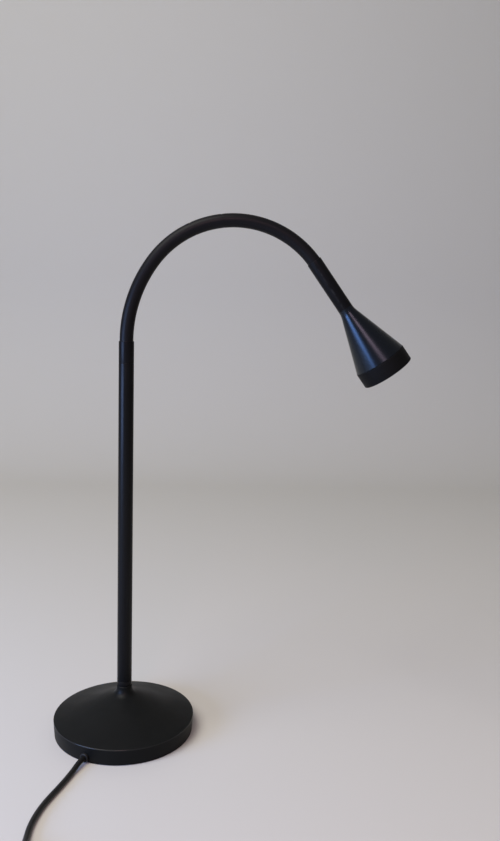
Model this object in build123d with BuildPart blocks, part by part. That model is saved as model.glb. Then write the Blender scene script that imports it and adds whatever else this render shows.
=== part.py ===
from build123d import *
import math
import os

os.makedirs("parts", exist_ok=True)

# A desk lamp on a round weighted base: an upright stem, a bendable arm and a conical spot head.
# Millimetres. The origin is on the stem's axis at the surface, the arm reaches towards +X.

# Base cover, a low hollow cone with a neck for the stem
foot_radius = 66.3
skirt_lean = 1.0
rim_z = 15.4
foot_z = 0.5
cover_wall = 2.1
cone_sag = 0.7
flare_radius = 13.2
flare_z = 35.2
flare_slope = 0.4
neck_radius = 7.3
neck_straight = 1.5
neck_top_z = 45.0
inner_boss_radius = 11.0
inner_boss_z = 28.0
rim_edge = 0.9

# Underside
pad_thickness = 1.2
pad_inset = 5.0
plate_thickness = 1.4
plate_clearance = 0.4
screw_inset = 15.0
screw_count = 3
screw_radius = 1.5
screw_head_radius = 2.75
screw_length = 9.0
screw_boss_radius = 4.0
pad_hole_radius = 4.0
pilot_clearance = 0.1
pilot_depth = 1.0

# Cast-iron weight
weight_side_gap = 5.4
weight_inner_radius = 15.0
weight_outer_height = 11.4
weight_shoulder_radius = 22.0
weight_shoulder_height = 22.4
weight_clearance = 0.6
weight_edge = 1.0
pocket_gap = 1.5

# Stem, its ring, nipple, nut and washer
stem_radius = 7.0
stem_top_z = 357.4
ring_height = 5.0
ring_edge = 0.4
nipple_radius = 5.0
nipple_bore_radius = 3.2
nipple_grip = 12.0
nipple_tail = 1.0
thread_gap = 0.1
nut_flats = 14.0
nut_height = 5.0
washer_radius = 9.5
washer_thickness = 1.4

# Collar at the stem's top, with the socket for the arm
collar_height = 20.1
collar_edge = 0.4
collar_spigot = 12.0
socket_depth = 18.0
socket_gap = 0.1
lead_bore_radius = 2.6
grub_radius = 1.5
grub_drop = 9.0
grub_recess = 0.4

# Arm: a steel spiral core in short sections and a smooth sleeve around it
arm_length = 251.6
arm_radius_1 = 125.0
arm_turn_1 = 36.0
arm_radius_2 = 92.0
arm_joints = 9
core_radius = 4.7
core_bore_radius = 2.3
core_gap = 1.05
sleeve_radius = 6.3
sleeve_bore_radius = 4.85
sleeve_gap = 0.1

# Leads
mains_radius = 2.4
lamp_lead_radius = 1.8
lead_bend = 7.0
lead_gap = 0.1

# Head: collar, shade, front ring, lens, reflector and LED
head_collar_length = 51.8
head_tuck = 4.0
head_mouth_radius = 6.45
head_mouth_depth = 4.4
head_socket_depth = 20.0
head_spigot = 10.0
shade_back_radius = 7.0
shade_front_radius = 24.85
shade_length = 58.0
shade_neck = 3.5
shade_neck_blend = 20.0
shade_wall = 1.8
shade_spigot_radius = 23.1
shade_spigot_wall = 1.5
ring_length = 14.6
front_ring_radius = 25.05
front_ring_bore = 23.2
front_lip_thickness = 1.8
front_lip_width = 1.8
front_edge = 0.5
lens_thickness = 2.6
lens_clearance = 0.3
reflector_wall = 0.9
reflector_flange = 1.0
reflector_front_radius = 20.3
reflector_back_radius = 4.6
sink_thickness = 3.0
sink_length = 15.0
sink_setback = 24.2
sink_slot = 2.2
sink_slots = 5
sink_gap = 0.2
board_radius = 11.5
board_thickness = 1.6
board_screw_radius = 1.0
board_screw_ring = 9.0
board_screw_head = 1.7
board_screw_length = 5.0
led_side = 7.0
led_height = 1.0
led_dome_radius = 2.6

# Driver case in the base
case_start = 14.0
case_end_gap = 2.0
case_width = 25.0
case_height = 12.0
case_wall = 1.4
lid_thickness = 1.2
case_lead_height = 6.4
driver_board_thickness = 1.6
driver_rest = 2.2

# Cord, where it leaves the skirt
cord_azimuth = -115.5
cord_exit_run = 6.0
cord_rest_gap = 0.1
bushing_radius = 4.2
bushing_stand = 2.6
bushing_neck_radius = 3.2
bushing_inside = 3.0
clamp_width = 19.0
clamp_length = 5.0
clamp_inset = 13.0
clamp_cover = 2.4
clamp_screw_radius = 1.2
clamp_screw_head = 2.3
clamp_screw_offset = 6.2

# In-line switch: two half shells with tapered ends, a rocker, contacts and screws
switch_x = -52.6
switch_y = -193.0
switch_azimuth = -79.0
switch_length = 50.0
switch_width = 24.0
switch_height = 15.0
switch_split_z = 6.5
switch_corner = 7.0
switch_wall = 2.0
switch_edge = 1.2
relief_length = 20.0
relief_start_radius = 4.4
relief_end_radius = 3.3
switch_entry_run = 10.5
switch_leave_run = 12.0
rocker_radius = 9.6
rocker_width = 10.0
rocker_gap = 0.5
rocker_pivot_drop = 3.0
rocker_rest_tilt = 8.0
rocker_top_angle = 22.0
rocker_bottom_angle = 12.0
rocker_dip = 1.2
rocker_hub = 3.0
pivot_radius = 1.0
pivot_gap = 0.3
cheek_length = 8.0
cheek_thickness = 1.8
switch_post_x = 17.5
switch_post_y = 6.5
switch_post_radius = 2.8
switch_screw_radius = 1.2
switch_screw_head = 2.1
switch_screw_length = 8.0
contact_length = 14.0
contact_width = 4.0
contact_thickness = 0.8
contact_height = 5.0
contact_offset = 3.4

# Coil: turns in two layers, wound in and out again
coil_x = 35.0
coil_y = -282.0
coil_inner_radius = 19.5
coil_turns = 3.5
coil_gap = 0.5
coil_tail = 15.0
corner_share = 0.45

# Plug
plug_length = 35.0
plug_width = 35.3
plug_nose_width = 20.0
plug_edge = 2.0
plug_relief_length = 30.0
plug_relief_radius = 6.0
pin_radius = 2.0
pin_length = 19.0
pin_spacing = 18.6
pin_grip = 6.0

save_order = []


def save(piece, name):
    """Label a finished piece and write it as its own file."""
    piece.part.label = name
    export_step(piece.part, f"parts/{name}.step")
    save_order.append(name)


# Heights and radii in the base
plate_bottom = pad_thickness
plate_top = pad_thickness + plate_thickness
mains_z = plate_top + mains_radius
rim_radius = foot_radius + skirt_lean
skirt_inner_radius = foot_radius - cover_wall
pad_radius = foot_radius - pad_inset
screw_ring = foot_radius - screw_inset
weight_outer_radius = skirt_inner_radius - weight_side_gap
pocket_width = case_width + 2 * pocket_gap
clamp_start = foot_radius - clamp_inset
case_length = clamp_start - case_end_gap - case_start
cone_slope = (flare_z - rim_z) / (rim_radius - flare_radius)


def cover_top(radius):
    """Height of the cover's sloping top at a radius."""
    share = (rim_radius - radius) / (rim_radius - flare_radius)
    chord = rim_z + (rim_radius - radius) * cone_slope
    return chord - 4 * cone_sag * share * (1 - share)


def radial_plane(height, turn=0.0):
    """Level plane whose x axis points at the cord's exit, turned by a few degrees if asked."""
    angle = math.radians(cord_azimuth + turn)
    return Plane(origin=(0, 0, height), x_dir=(math.cos(angle), math.sin(angle), 0), z_dir=(0, 0, 1))


screw_plane_turn = 180.0 / screw_count
exit_direction = radial_plane(0).x_dir
exit_side = Vector(-exit_direction.Y, exit_direction.X, 0)
exit_plane = Plane(origin=(0, 0, mains_z), x_dir=exit_side, z_dir=exit_direction)
bushing_seat = foot_radius + (rim_radius - foot_radius) * (mains_z - bushing_radius) / rim_z

# Base cover: outer profile of skirt, rim, low cone, flare and neck, with the hollow cut from below
cover_mid_radius = (rim_radius + flare_radius) / 2
roof_outer_z = rim_z - cover_wall
roof_inner_z = flare_z - cover_wall
with BuildPart() as base_cover:
    with BuildSketch(Plane.XZ) as cover_outer:
        with BuildLine():
            Polyline(
                (0, foot_z),
                (foot_radius, foot_z),
                (rim_radius, rim_z),
            )
            ThreePointArc(
                (rim_radius, rim_z),
                (cover_mid_radius, cover_top(cover_mid_radius)),
                (flare_radius, flare_z),
            )
            Bezier(
                (flare_radius, flare_z),
                (neck_radius, flare_z + (flare_radius - neck_radius) * flare_slope),
                (neck_radius, neck_top_z - neck_straight),
            )
            Polyline(
                (neck_radius, neck_top_z - neck_straight),
                (neck_radius, neck_top_z),
                (0, neck_top_z),
                (0, foot_z),
            )
        make_face()
        fillet(cover_outer.vertices().group_by(Axis.X)[-1], rim_edge)
    revolve(axis=Axis.Z)
    with BuildSketch(Plane.XZ) as cover_hollow:
        with BuildLine():
            Polyline(
                (0, foot_z),
                (skirt_inner_radius, foot_z),
                (skirt_inner_radius, roof_outer_z),
                (flare_radius, roof_inner_z),
                (inner_boss_radius, roof_inner_z),
                (inner_boss_radius, inner_boss_z),
                (0, inner_boss_z),
                (0, foot_z),
            )
        make_face()
    revolve(axis=Axis.Z, mode=Mode.SUBTRACT)
    with BuildSketch(Plane.XY.offset(inner_boss_z)):
        Circle(nipple_radius + thread_gap)
    extrude(amount=neck_top_z - inner_boss_z, mode=Mode.SUBTRACT)
    # Three bosses for the screws stand on the bottom plate
    with BuildSketch(radial_plane(plate_top, screw_plane_turn)):
        with PolarLocations(screw_ring, screw_count):
            Circle(screw_boss_radius)
    extrude(amount=cover_top(screw_ring) - cover_wall / 2 - plate_top)
    with BuildSketch(radial_plane(plate_top, screw_plane_turn)):
        with PolarLocations(screw_ring, screw_count):
            Circle(screw_radius + pilot_clearance)
    extrude(amount=screw_length - plate_thickness + pilot_depth, mode=Mode.SUBTRACT)
    # Hole in the skirt for the bushing, with a flat seat for its boss
    with BuildSketch(exit_plane):
        Circle(bushing_neck_radius)
    extrude(amount=rim_radius + bushing_stand, mode=Mode.SUBTRACT)
    with BuildSketch(exit_plane.offset(bushing_seat)):
        Circle(bushing_radius + lead_gap)
    extrude(amount=bushing_stand, mode=Mode.SUBTRACT)
save(base_cover, "base_cover")

# Cast-iron weight with a pocket for the driver, open towards the cord
with BuildPart() as base_weight:
    with BuildSketch(Plane.XZ) as weight_profile:
        with BuildLine():
            Polyline(
                (weight_inner_radius, plate_top),
                (weight_outer_radius, plate_top),
                (weight_outer_radius, plate_top + weight_outer_height),
                (weight_shoulder_radius, plate_top + weight_shoulder_height),
                (weight_inner_radius, plate_top + weight_shoulder_height),
                close=True,
            )
        make_face()
        fillet(weight_profile.vertices().group_by(Axis.X)[-1].sort_by(Axis.Y)[-1:], weight_edge)
    revolve(axis=Axis.Z)
    with BuildSketch(radial_plane(plate_top)):
        with Locations((weight_outer_radius / 2, 0)):
            Rectangle(weight_outer_radius + 4 * weight_clearance, pocket_width)
    extrude(amount=weight_shoulder_height + weight_clearance, mode=Mode.SUBTRACT)
    with BuildSketch(radial_plane(plate_top, screw_plane_turn)):
        with PolarLocations(screw_ring, screw_count):
            Circle(screw_boss_radius + weight_clearance)
    extrude(amount=weight_shoulder_height, mode=Mode.SUBTRACT)
save(base_weight, "base_weight")

# Steel bottom plate, countersunk for the screws and notched under the bushing
with BuildPart() as bottom_plate:
    with BuildSketch(Plane.XY.offset(plate_bottom)):
        Circle(skirt_inner_radius - plate_clearance)
    extrude(amount=plate_thickness)
    with BuildSketch(radial_plane(plate_bottom)):
        with Locations((skirt_inner_radius, 0)):
            Rectangle(2 * (bushing_inside + weight_clearance), 2 * (bushing_neck_radius + weight_clearance))
    extrude(amount=plate_thickness, mode=Mode.SUBTRACT)
    with Locations(radial_plane((plate_bottom + plate_top) / 2, screw_plane_turn)):
        with PolarLocations(screw_ring, screw_count):
            Cone(
                screw_head_radius + pilot_clearance,
                screw_radius + pilot_clearance,
                plate_thickness,
                mode=Mode.SUBTRACT,
            )
save(bottom_plate, "bottom_plate")

# Three countersunk screws up into the cover's bosses
with BuildPart() as plate_screws:
    with Locations(radial_plane(plate_bottom, screw_plane_turn)):
        with PolarLocations(screw_ring, screw_count):
            Cone(
                screw_head_radius,
                screw_radius,
                plate_thickness,
                align=(Align.CENTER, Align.CENTER, Align.MIN),
            )
            Cylinder(screw_radius, screw_length, align=(Align.CENTER, Align.CENTER, Align.MIN))
save(plate_screws, "plate_screws")

# Rubber pad the lamp stands on, open round the screws
with BuildPart() as base_pad:
    with BuildSketch(Plane.XY):
        Circle(pad_radius)
    extrude(amount=pad_thickness)
    with BuildSketch(radial_plane(0, screw_plane_turn)):
        with PolarLocations(screw_ring, screw_count):
            Circle(pad_hole_radius)
    extrude(amount=pad_thickness, mode=Mode.SUBTRACT)
save(base_pad, "base_pad")

# Stem tube
stem_bore_radius = nipple_radius + thread_gap
stem_foot_z = neck_top_z + ring_height
with BuildPart() as stem_tube:
    with BuildSketch(Plane.XY.offset(stem_foot_z)):
        Circle(stem_radius)
        Circle(stem_bore_radius, mode=Mode.SUBTRACT)
    extrude(amount=stem_top_z - stem_foot_z)
save(stem_tube, "stem_tube")

# Ring between the cover's neck and the stem, broken at both edges
with BuildPart() as stem_ring:
    with BuildSketch(Plane.XY.offset(neck_top_z)):
        Circle(stem_radius)
    extrude(amount=ring_height)
    chamfer(stem_ring.edges().filter_by(GeomType.CIRCLE), ring_edge)
    with BuildSketch(Plane.XY.offset(neck_top_z)):
        Circle(nipple_radius + thread_gap)
    extrude(amount=ring_height, mode=Mode.SUBTRACT)
save(stem_ring, "stem_ring")

# Threaded nipple that holds the stem, with its washer and nut under the cover's boss
nut_top_z = inner_boss_z - washer_thickness
nipple_bottom_z = nut_top_z - nut_height - nipple_tail
with BuildPart() as stem_nipple:
    with BuildSketch(Plane.XY.offset(nipple_bottom_z)):
        Circle(nipple_radius)
        Circle(nipple_bore_radius, mode=Mode.SUBTRACT)
    extrude(amount=stem_foot_z + nipple_grip - nipple_bottom_z)
save(stem_nipple, "stem_nipple")

with BuildPart() as stem_washer:
    with BuildSketch(Plane.XY.offset(nut_top_z)):
        Circle(washer_radius)
        Circle(nipple_radius + thread_gap, mode=Mode.SUBTRACT)
    extrude(amount=washer_thickness)
save(stem_washer, "stem_washer")

with BuildPart() as stem_nut:
    with BuildSketch(Plane.XY.offset(nut_top_z - nut_height)):
        RegularPolygon(nut_flats / 2, 6, major_radius=False)
        Circle(nipple_radius + thread_gap, mode=Mode.SUBTRACT)
    extrude(amount=nut_height)
save(stem_nut, "stem_nut")

# Collar on the stem's top: spigot below, socket for the arm above, a grub screw at the back
collar_top_z = stem_top_z + collar_height
socket_floor_z = collar_top_z - socket_depth
grub_z = collar_top_z - grub_drop
grub_plane = Plane(origin=(0, 0, grub_z), z_dir=(0, 1, 0))
with BuildPart() as stem_collar:
    with BuildSketch(Plane.XY.offset(stem_top_z)):
        Circle(stem_radius)
    extrude(amount=collar_height)
    chamfer(stem_collar.edges().filter_by(GeomType.CIRCLE), collar_edge)
    with BuildSketch(Plane.XY.offset(stem_top_z - collar_spigot)):
        Circle(stem_bore_radius - thread_gap)
    extrude(amount=collar_spigot)
    with BuildSketch(Plane.XY.offset(stem_top_z - collar_spigot)):
        Circle(lead_bore_radius)
    extrude(amount=collar_spigot + collar_height, mode=Mode.SUBTRACT)
    with BuildSketch(Plane.XY.offset(socket_floor_z)):
        Circle(core_radius + socket_gap)
    extrude(amount=socket_depth, mode=Mode.SUBTRACT)
    with BuildSketch(grub_plane):
        Circle(grub_radius + thread_gap)
    extrude(amount=stem_radius, mode=Mode.SUBTRACT)
save(stem_collar, "stem_collar")

grub_start = core_radius + socket_gap
grub_length = stem_radius - grub_recess - grub_start
with BuildPart() as collar_screw:
    with BuildSketch(grub_plane.offset(grub_start)):
        Circle(grub_radius)
    extrude(amount=grub_length)
    with BuildSketch(grub_plane.offset(grub_start + grub_length)):
        RegularPolygon(grub_radius / 2, 6, major_radius=False)
    extrude(amount=-grub_length / 2, mode=Mode.SUBTRACT)
save(collar_screw, "collar_screw")

# Arm centreline: straight up out of the collar, then two tangent arcs in the XZ plane
arm_first = arm_radius_1 * math.radians(arm_turn_1)
pitch = arm_length / arm_joints


def arm_heading(s):
    """Heading in radians from straight up, at a length along the arm."""
    if s <= 0:
        return 0.0
    if s <= arm_first:
        return s / arm_radius_1
    return math.radians(arm_turn_1) + (min(s, arm_length) - arm_first) / arm_radius_2


def arm_direction(s):
    """Direction of the arm's centreline."""
    return Vector(math.sin(arm_heading(s)), 0, math.cos(arm_heading(s)))


def arm_point(s):
    """Point on the arm's centreline; straight on past either end."""
    if s <= 0:
        return Vector(0, 0, collar_top_z + s)
    near = min(s, arm_first) / arm_radius_1
    x = arm_radius_1 * (1 - math.cos(near))
    z = collar_top_z + arm_radius_1 * math.sin(near)
    if s > arm_first:
        first = math.radians(arm_turn_1)
        last = arm_heading(s)
        x += arm_radius_2 * (math.cos(first) - math.cos(last))
        z += arm_radius_2 * (math.sin(last) - math.sin(first))
    beyond = max(0.0, s - arm_length)
    return Vector(x, 0, z) + arm_direction(s) * beyond


def arm_plane(s):
    """Plane square to the arm's centreline."""
    return Plane(origin=arm_point(s), x_dir=(0, 1, 0), z_dir=arm_direction(s))


def arm_breaks(start, end):
    """Lengths at which the centreline changes between start and end."""
    inner = [s for s in (0.0, arm_first, arm_length) if start + 0.01 < s < end - 0.01]
    return [start] + inner + [end]


def arm_path(start, end):
    """Edges of the centreline between two lengths, for use inside a BuildLine block."""
    stops = arm_breaks(start, end)
    for a, b in zip(stops[:-1], stops[1:]):
        if b <= 0 or a >= arm_length:
            Line(arm_point(a), arm_point(b))
        else:
            ThreePointArc(arm_point(a), arm_point((a + b) / 2), arm_point(b))


# Arm core: one section on the collar, one between each pair of bends, one in the head's collar
head_reach = head_mouth_depth + head_socket_depth - head_tuck
for index in range(arm_joints + 1):
    start = (index - 0.5) * pitch + core_gap
    end = (index + 0.5) * pitch - core_gap
    if index == 0:
        start = -socket_depth
    if index == arm_joints:
        end = arm_length + head_reach
    with BuildPart() as arm_core:
        with BuildLine() as core_line:
            arm_path(start, end)
        with BuildSketch(arm_plane(start)):
            Circle(core_radius)
            Circle(core_bore_radius, mode=Mode.SUBTRACT)
        sweep(path=core_line.line)
        with BuildLine() as lead_line:
            arm_path(start, end)
        with BuildSketch(arm_plane(start)):
            Circle(lamp_lead_radius)
        sweep(path=lead_line.line)
    save(arm_core, f"arm_core_{index}")

# Arm sleeve: one section over each bend
for index in range(1, arm_joints + 1):
    start = (index - 1) * pitch + (sleeve_gap if index > 1 else 0.0)
    end = index * pitch - (sleeve_gap if index == arm_joints else 0.0)
    with BuildPart() as arm_sleeve:
        with BuildLine() as sleeve_line:
            arm_path(start, end)
        with BuildSketch(arm_plane(start)):
            Circle(sleeve_radius)
            Circle(sleeve_bore_radius, mode=Mode.SUBTRACT)
        sweep(path=sleeve_line.line)
    save(arm_sleeve, f"arm_sleeve_{index}")

# Head: everything is turned about one axis, measured from the collar's start
head_direction = arm_direction(arm_length)
head_start = arm_point(arm_length) - head_direction * head_tuck
head_side = Vector(0, 1, 0)
head_profile = Plane(origin=head_start, x_dir=head_side, z_dir=head_side.cross(head_direction))
head_axis = Axis(head_start, head_direction)


def head_plane(distance):
    """Plane square to the head's axis at a distance from the collar's start."""
    origin = head_start + head_direction * distance
    return Plane(origin=origin, x_dir=head_side, z_dir=head_direction)


shade_start = head_collar_length
shade_spigot = ring_length - front_lip_thickness - lens_thickness - reflector_flange
shade_end = shade_start + shade_length
ring_end = shade_end + ring_length
cone_start = shade_start + shade_neck
shade_slope = (shade_front_radius - shade_back_radius) / (shade_end - cone_start)
shade_wall_across = shade_wall * math.hypot(1, shade_slope)
spigot_inner_radius = shade_spigot_radius - shade_spigot_wall


def shade_inner(distance):
    """Inner radius of the shade at a distance along the head's axis."""
    return shade_back_radius + (distance - cone_start) * shade_slope - shade_wall_across


# Collar between the arm and the shade
with BuildPart() as head_collar:
    with BuildSketch(head_plane(0)):
        Circle(stem_radius)
    extrude(amount=head_collar_length)
    chamfer(head_collar.edges().filter_by(GeomType.CIRCLE).sort_by(head_axis)[:1], collar_edge)
    with BuildSketch(head_plane(head_collar_length)):
        Circle(nipple_radius)
    extrude(amount=head_spigot)
    with BuildSketch(head_plane(0)):
        Circle(head_mouth_radius)
    extrude(amount=head_mouth_depth, mode=Mode.SUBTRACT)
    with BuildSketch(head_plane(head_mouth_depth)):
        Circle(core_radius + socket_gap)
    extrude(amount=head_socket_depth, mode=Mode.SUBTRACT)
    with BuildSketch(head_plane(head_mouth_depth)):
        Circle(lead_bore_radius)
    extrude(amount=head_collar_length + head_spigot - head_mouth_depth, mode=Mode.SUBTRACT)
save(head_collar, "head_collar")

# Conical shade with a curved neck behind and a threaded spigot for the front ring
shade_shoulder = shade_start + head_spigot
shade_inner_end = cone_start + (
    spigot_inner_radius + shade_wall_across - shade_back_radius
) / shade_slope
with BuildPart() as shade:
    with BuildSketch(head_profile) as shade_section:
        with BuildLine():
            Polyline(
                (nipple_radius + thread_gap, shade_start),
                (shade_back_radius, shade_start),
                (shade_back_radius, cone_start),
                (shade_front_radius, shade_end),
                (shade_spigot_radius, shade_end),
                (shade_spigot_radius, shade_end + shade_spigot),
                (spigot_inner_radius, shade_end + shade_spigot),
                (spigot_inner_radius, shade_inner_end),
                (shade_inner(shade_shoulder), shade_shoulder),
                (nipple_radius + thread_gap, shade_shoulder),
                close=True,
            )
        make_face()
        fillet(shade_section.vertices().sort_by(Axis.X)[-1:], front_edge)
        neck_corner = Vector(shade_back_radius, cone_start)
        fillet(shade_section.vertices().sort_by_distance(neck_corner)[:1], shade_neck_blend)
    revolve(axis=head_axis)
save(shade, "shade")

# Front ring with the lip that holds the lens
lens_start = shade_end + shade_spigot + reflector_flange
lens_end = lens_start + lens_thickness
with BuildPart() as front_ring:
    with BuildSketch(head_profile) as ring_section:
        with BuildLine():
            Polyline(
                (front_ring_bore, shade_end),
                (front_ring_radius, shade_end),
                (front_ring_radius, ring_end),
                (front_ring_bore - front_lip_width, ring_end),
                (front_ring_bore - front_lip_width, ring_end - front_lip_thickness),
                (front_ring_bore, ring_end - front_lip_thickness),
                close=True,
            )
        make_face()
        chamfer(ring_section.vertices().group_by(Axis.X)[-1], front_edge)
    revolve(axis=head_axis)
save(front_ring, "front_ring")

# Clear lens behind the lip
with BuildPart() as lens:
    with BuildSketch(head_plane(lens_start)):
        Circle(front_ring_bore - lens_clearance)
    extrude(amount=lens_thickness)
    chamfer(lens.edges().filter_by(GeomType.CIRCLE), lens_clearance)
save(lens, "lens")

# Parabolic reflector between the LED and the lens, an exact parabola as a three-point Bezier
sink_back = shade_start + sink_setback
reflector_start = sink_back + sink_length + board_thickness + led_height
flange_start = lens_start - reflector_flange
bowl_gain = (reflector_front_radius**2 - reflector_back_radius**2) / (flange_start - reflector_start)
bowl_middle = (reflector_front_radius + reflector_back_radius) / 2
bowl_turn = reflector_start + (bowl_middle - reflector_back_radius) * 2 * reflector_back_radius / bowl_gain
with BuildPart() as reflector:
    with BuildSketch(head_profile):
        with BuildLine():
            Bezier(
                (reflector_back_radius, reflector_start),
                (bowl_middle, bowl_turn),
                (reflector_front_radius, flange_start),
            )
            Polyline(
                (reflector_front_radius, flange_start),
                (reflector_front_radius, lens_start),
                (shade_spigot_radius - thread_gap, lens_start),
                (shade_spigot_radius - thread_gap, flange_start),
                (reflector_front_radius + reflector_wall, flange_start),
            )
            Bezier(
                (reflector_front_radius + reflector_wall, flange_start),
                (bowl_middle + reflector_wall, bowl_turn),
                (reflector_back_radius + reflector_wall, reflector_start),
            )
            Line(
                (reflector_back_radius + reflector_wall, reflector_start),
                (reflector_back_radius, reflector_start),
            )
        make_face()
    revolve(axis=head_axis)
save(reflector, "reflector")

# Aluminium heat sink wedged in the shade, slotted from behind into straight fins
sink_front = sink_back + sink_length
with BuildPart() as heat_sink:
    with BuildSketch(head_profile):
        with BuildLine():
            Polyline(
                (lead_bore_radius, sink_back),
                (shade_inner(sink_back) - sink_gap, sink_back),
                (shade_inner(sink_front) - sink_gap, sink_front),
                (lead_bore_radius, sink_front),
                close=True,
            )
        make_face()
    revolve(axis=head_axis)
    with BuildSketch(head_plane(sink_back)):
        with GridLocations(2 * shade_inner(sink_back) / sink_slots, 0, sink_slots, 1):
            Rectangle(sink_slot, 2 * shade_inner(sink_front))
    extrude(amount=sink_length - sink_thickness, mode=Mode.SUBTRACT)
    with Locations(head_plane(sink_front)):
        with PolarLocations(board_screw_ring, 2):
            Cylinder(
                board_screw_radius + thread_gap,
                board_screw_length,
                align=(Align.CENTER, Align.CENTER, Align.MAX),
                mode=Mode.SUBTRACT,
            )
save(heat_sink, "heat_sink")

# LED board on the heat sink, with the LED and two screws
board_start = sink_front
board_end = board_start + board_thickness
with BuildPart() as led_board:
    with BuildSketch(head_plane(board_start)):
        Circle(board_radius)
        with PolarLocations(board_screw_ring, 2):
            Circle(board_screw_radius + thread_gap, mode=Mode.SUBTRACT)
    extrude(amount=board_thickness)
save(led_board, "led_board")

with BuildPart() as led_emitter:
    with BuildSketch(head_plane(board_end)):
        Rectangle(led_side, led_side)
    extrude(amount=led_height)
    with Locations(head_plane(board_end + led_height)):
        Sphere(led_dome_radius, arc_size1=0, align=(Align.CENTER, Align.CENTER, Align.MIN))
save(led_emitter, "led_emitter")

with BuildPart() as board_screws:
    with Locations(head_plane(board_end)):
        with PolarLocations(board_screw_ring, 2):
            Cylinder(board_screw_head, board_screw_radius, align=(Align.CENTER, Align.CENTER, Align.MIN))
            Cylinder(board_screw_radius, board_screw_length, align=(Align.CENTER, Align.CENTER, Align.MAX))
save(board_screws, "board_screws")

# Lead from the arm to the LED board
with BuildPart() as head_lead:
    with BuildSketch(head_plane(head_mouth_depth + head_socket_depth)):
        Circle(lamp_lead_radius)
    extrude(amount=board_start - head_mouth_depth - head_socket_depth)
save(head_lead, "head_lead")

# Bushing in the skirt: a round boss outside, a neck through the wall, the lead inside it
bushing_end = bushing_seat + bushing_stand
with BuildPart() as cord_bushing:
    with BuildSketch(exit_plane.offset(bushing_seat)):
        Circle(bushing_radius)
    extrude(amount=bushing_stand)
    fillet(cord_bushing.edges().group_by(Axis((0, 0, mains_z), exit_direction))[-1], ring_edge)
    with BuildSketch(exit_plane.offset(skirt_inner_radius - bushing_inside)):
        Circle(bushing_neck_radius - lead_gap)
    extrude(amount=bushing_seat - skirt_inner_radius + bushing_inside)
    with BuildSketch(exit_plane.offset(skirt_inner_radius - bushing_inside)):
        Circle(mains_radius + lead_gap / 2)
    extrude(amount=bushing_end - skirt_inner_radius + bushing_inside, mode=Mode.SUBTRACT)
save(cord_bushing, "cord_bushing")

# Clamp that holds the mains lead down on the plate, with two screws
clamp_middle = clamp_start + clamp_length / 2
clamp_height = 2 * mains_radius + clamp_cover
with BuildPart() as cord_clamp:
    with BuildSketch(radial_plane(plate_top)):
        with Locations((clamp_middle, 0)):
            RectangleRounded(clamp_length, clamp_width, ring_edge)
    extrude(amount=clamp_height)
    with BuildSketch(exit_plane.offset(clamp_start)):
        Circle(mains_radius + lead_gap)
        Rectangle(2 * (mains_radius + lead_gap), mains_radius, align=(Align.CENTER, Align.MAX))
    extrude(amount=clamp_length, mode=Mode.SUBTRACT)
    with BuildSketch(radial_plane(plate_top)):
        with Locations((clamp_middle, 0)):
            with GridLocations(0, 2 * clamp_screw_offset, 1, 2):
                Circle(clamp_screw_radius + thread_gap)
    extrude(amount=clamp_height, mode=Mode.SUBTRACT)
save(cord_clamp, "cord_clamp")

with BuildPart() as clamp_screws:
    with BuildSketch(radial_plane(plate_top)):
        with Locations((clamp_middle, 0)):
            with GridLocations(0, 2 * clamp_screw_offset, 1, 2):
                Circle(clamp_screw_radius)
    extrude(amount=clamp_height)
    with BuildSketch(radial_plane(plate_top + clamp_height)):
        with Locations((clamp_middle, 0)):
            with GridLocations(0, 2 * clamp_screw_offset, 1, 2):
                Circle(clamp_screw_head)
    extrude(amount=clamp_screw_radius)
save(clamp_screws, "clamp_screws")

# Driver case on the plate, open at the top, with a hole for each lead
case_middle = case_start + case_length / 2
lead_z = plate_top + case_lead_height
with BuildPart() as driver_case:
    with BuildSketch(radial_plane(plate_top)):
        with Locations((case_middle, 0)):
            RectangleRounded(case_length, case_width, case_wall)
    extrude(amount=case_height)
    with BuildSketch(radial_plane(plate_top + case_wall)):
        with Locations((case_middle, 0)):
            Rectangle(case_length - 2 * case_wall, case_width - 2 * case_wall)
    extrude(amount=case_height - case_wall, mode=Mode.SUBTRACT)
    # Ledges that carry the board
    with BuildSketch(radial_plane(plate_top + case_wall)):
        with Locations((case_middle, 0)):
            with GridLocations(0, case_width - 3 * case_wall, 1, 2):
                Rectangle(case_length - 2 * case_wall, case_wall)
    extrude(amount=driver_rest)
    with BuildSketch(exit_plane.offset(case_start + case_length / 2)):
        Circle(mains_radius + lead_gap)
    extrude(amount=case_length / 2, mode=Mode.SUBTRACT)
    with BuildSketch(Plane(origin=(0, 0, lead_z), z_dir=exit_direction).offset(case_start)):
        Circle(lamp_lead_radius + lead_gap)
    extrude(amount=case_wall, mode=Mode.SUBTRACT)
save(driver_case, "driver_case")

with BuildPart() as driver_lid:
    with BuildSketch(radial_plane(plate_top + case_height)):
        with Locations((case_middle, 0)):
            RectangleRounded(case_length, case_width, case_wall)
    extrude(amount=lid_thickness)
    with BuildSketch(radial_plane(plate_top + case_height)):
        with Locations((case_middle, 0)):
            inner = (case_length - 2 * (case_wall + lead_gap), case_width - 2 * (case_wall + lead_gap))
            Rectangle(inner[0], inner[1])
            Rectangle(inner[0] - 2 * case_wall, inner[1] - 2 * case_wall, mode=Mode.SUBTRACT)
    extrude(amount=-lid_thickness)
save(driver_lid, "driver_lid")

# Board on the ledges, short of the case at the end where the mains lead comes in
board_top_z = plate_top + case_wall + driver_rest + driver_board_thickness
board_length = case_length - 2 * case_wall - 2 * mains_radius
board_width = case_width - 2 * (case_wall + lead_gap)
board_middle = case_start + case_wall + lead_gap + board_length / 2
with BuildPart() as driver_board:
    with BuildSketch(radial_plane(board_top_z - driver_board_thickness)):
        with Locations((board_middle, 0)):
            Rectangle(board_length, board_width)
    extrude(amount=driver_board_thickness)
save(driver_board, "driver_board")

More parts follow.
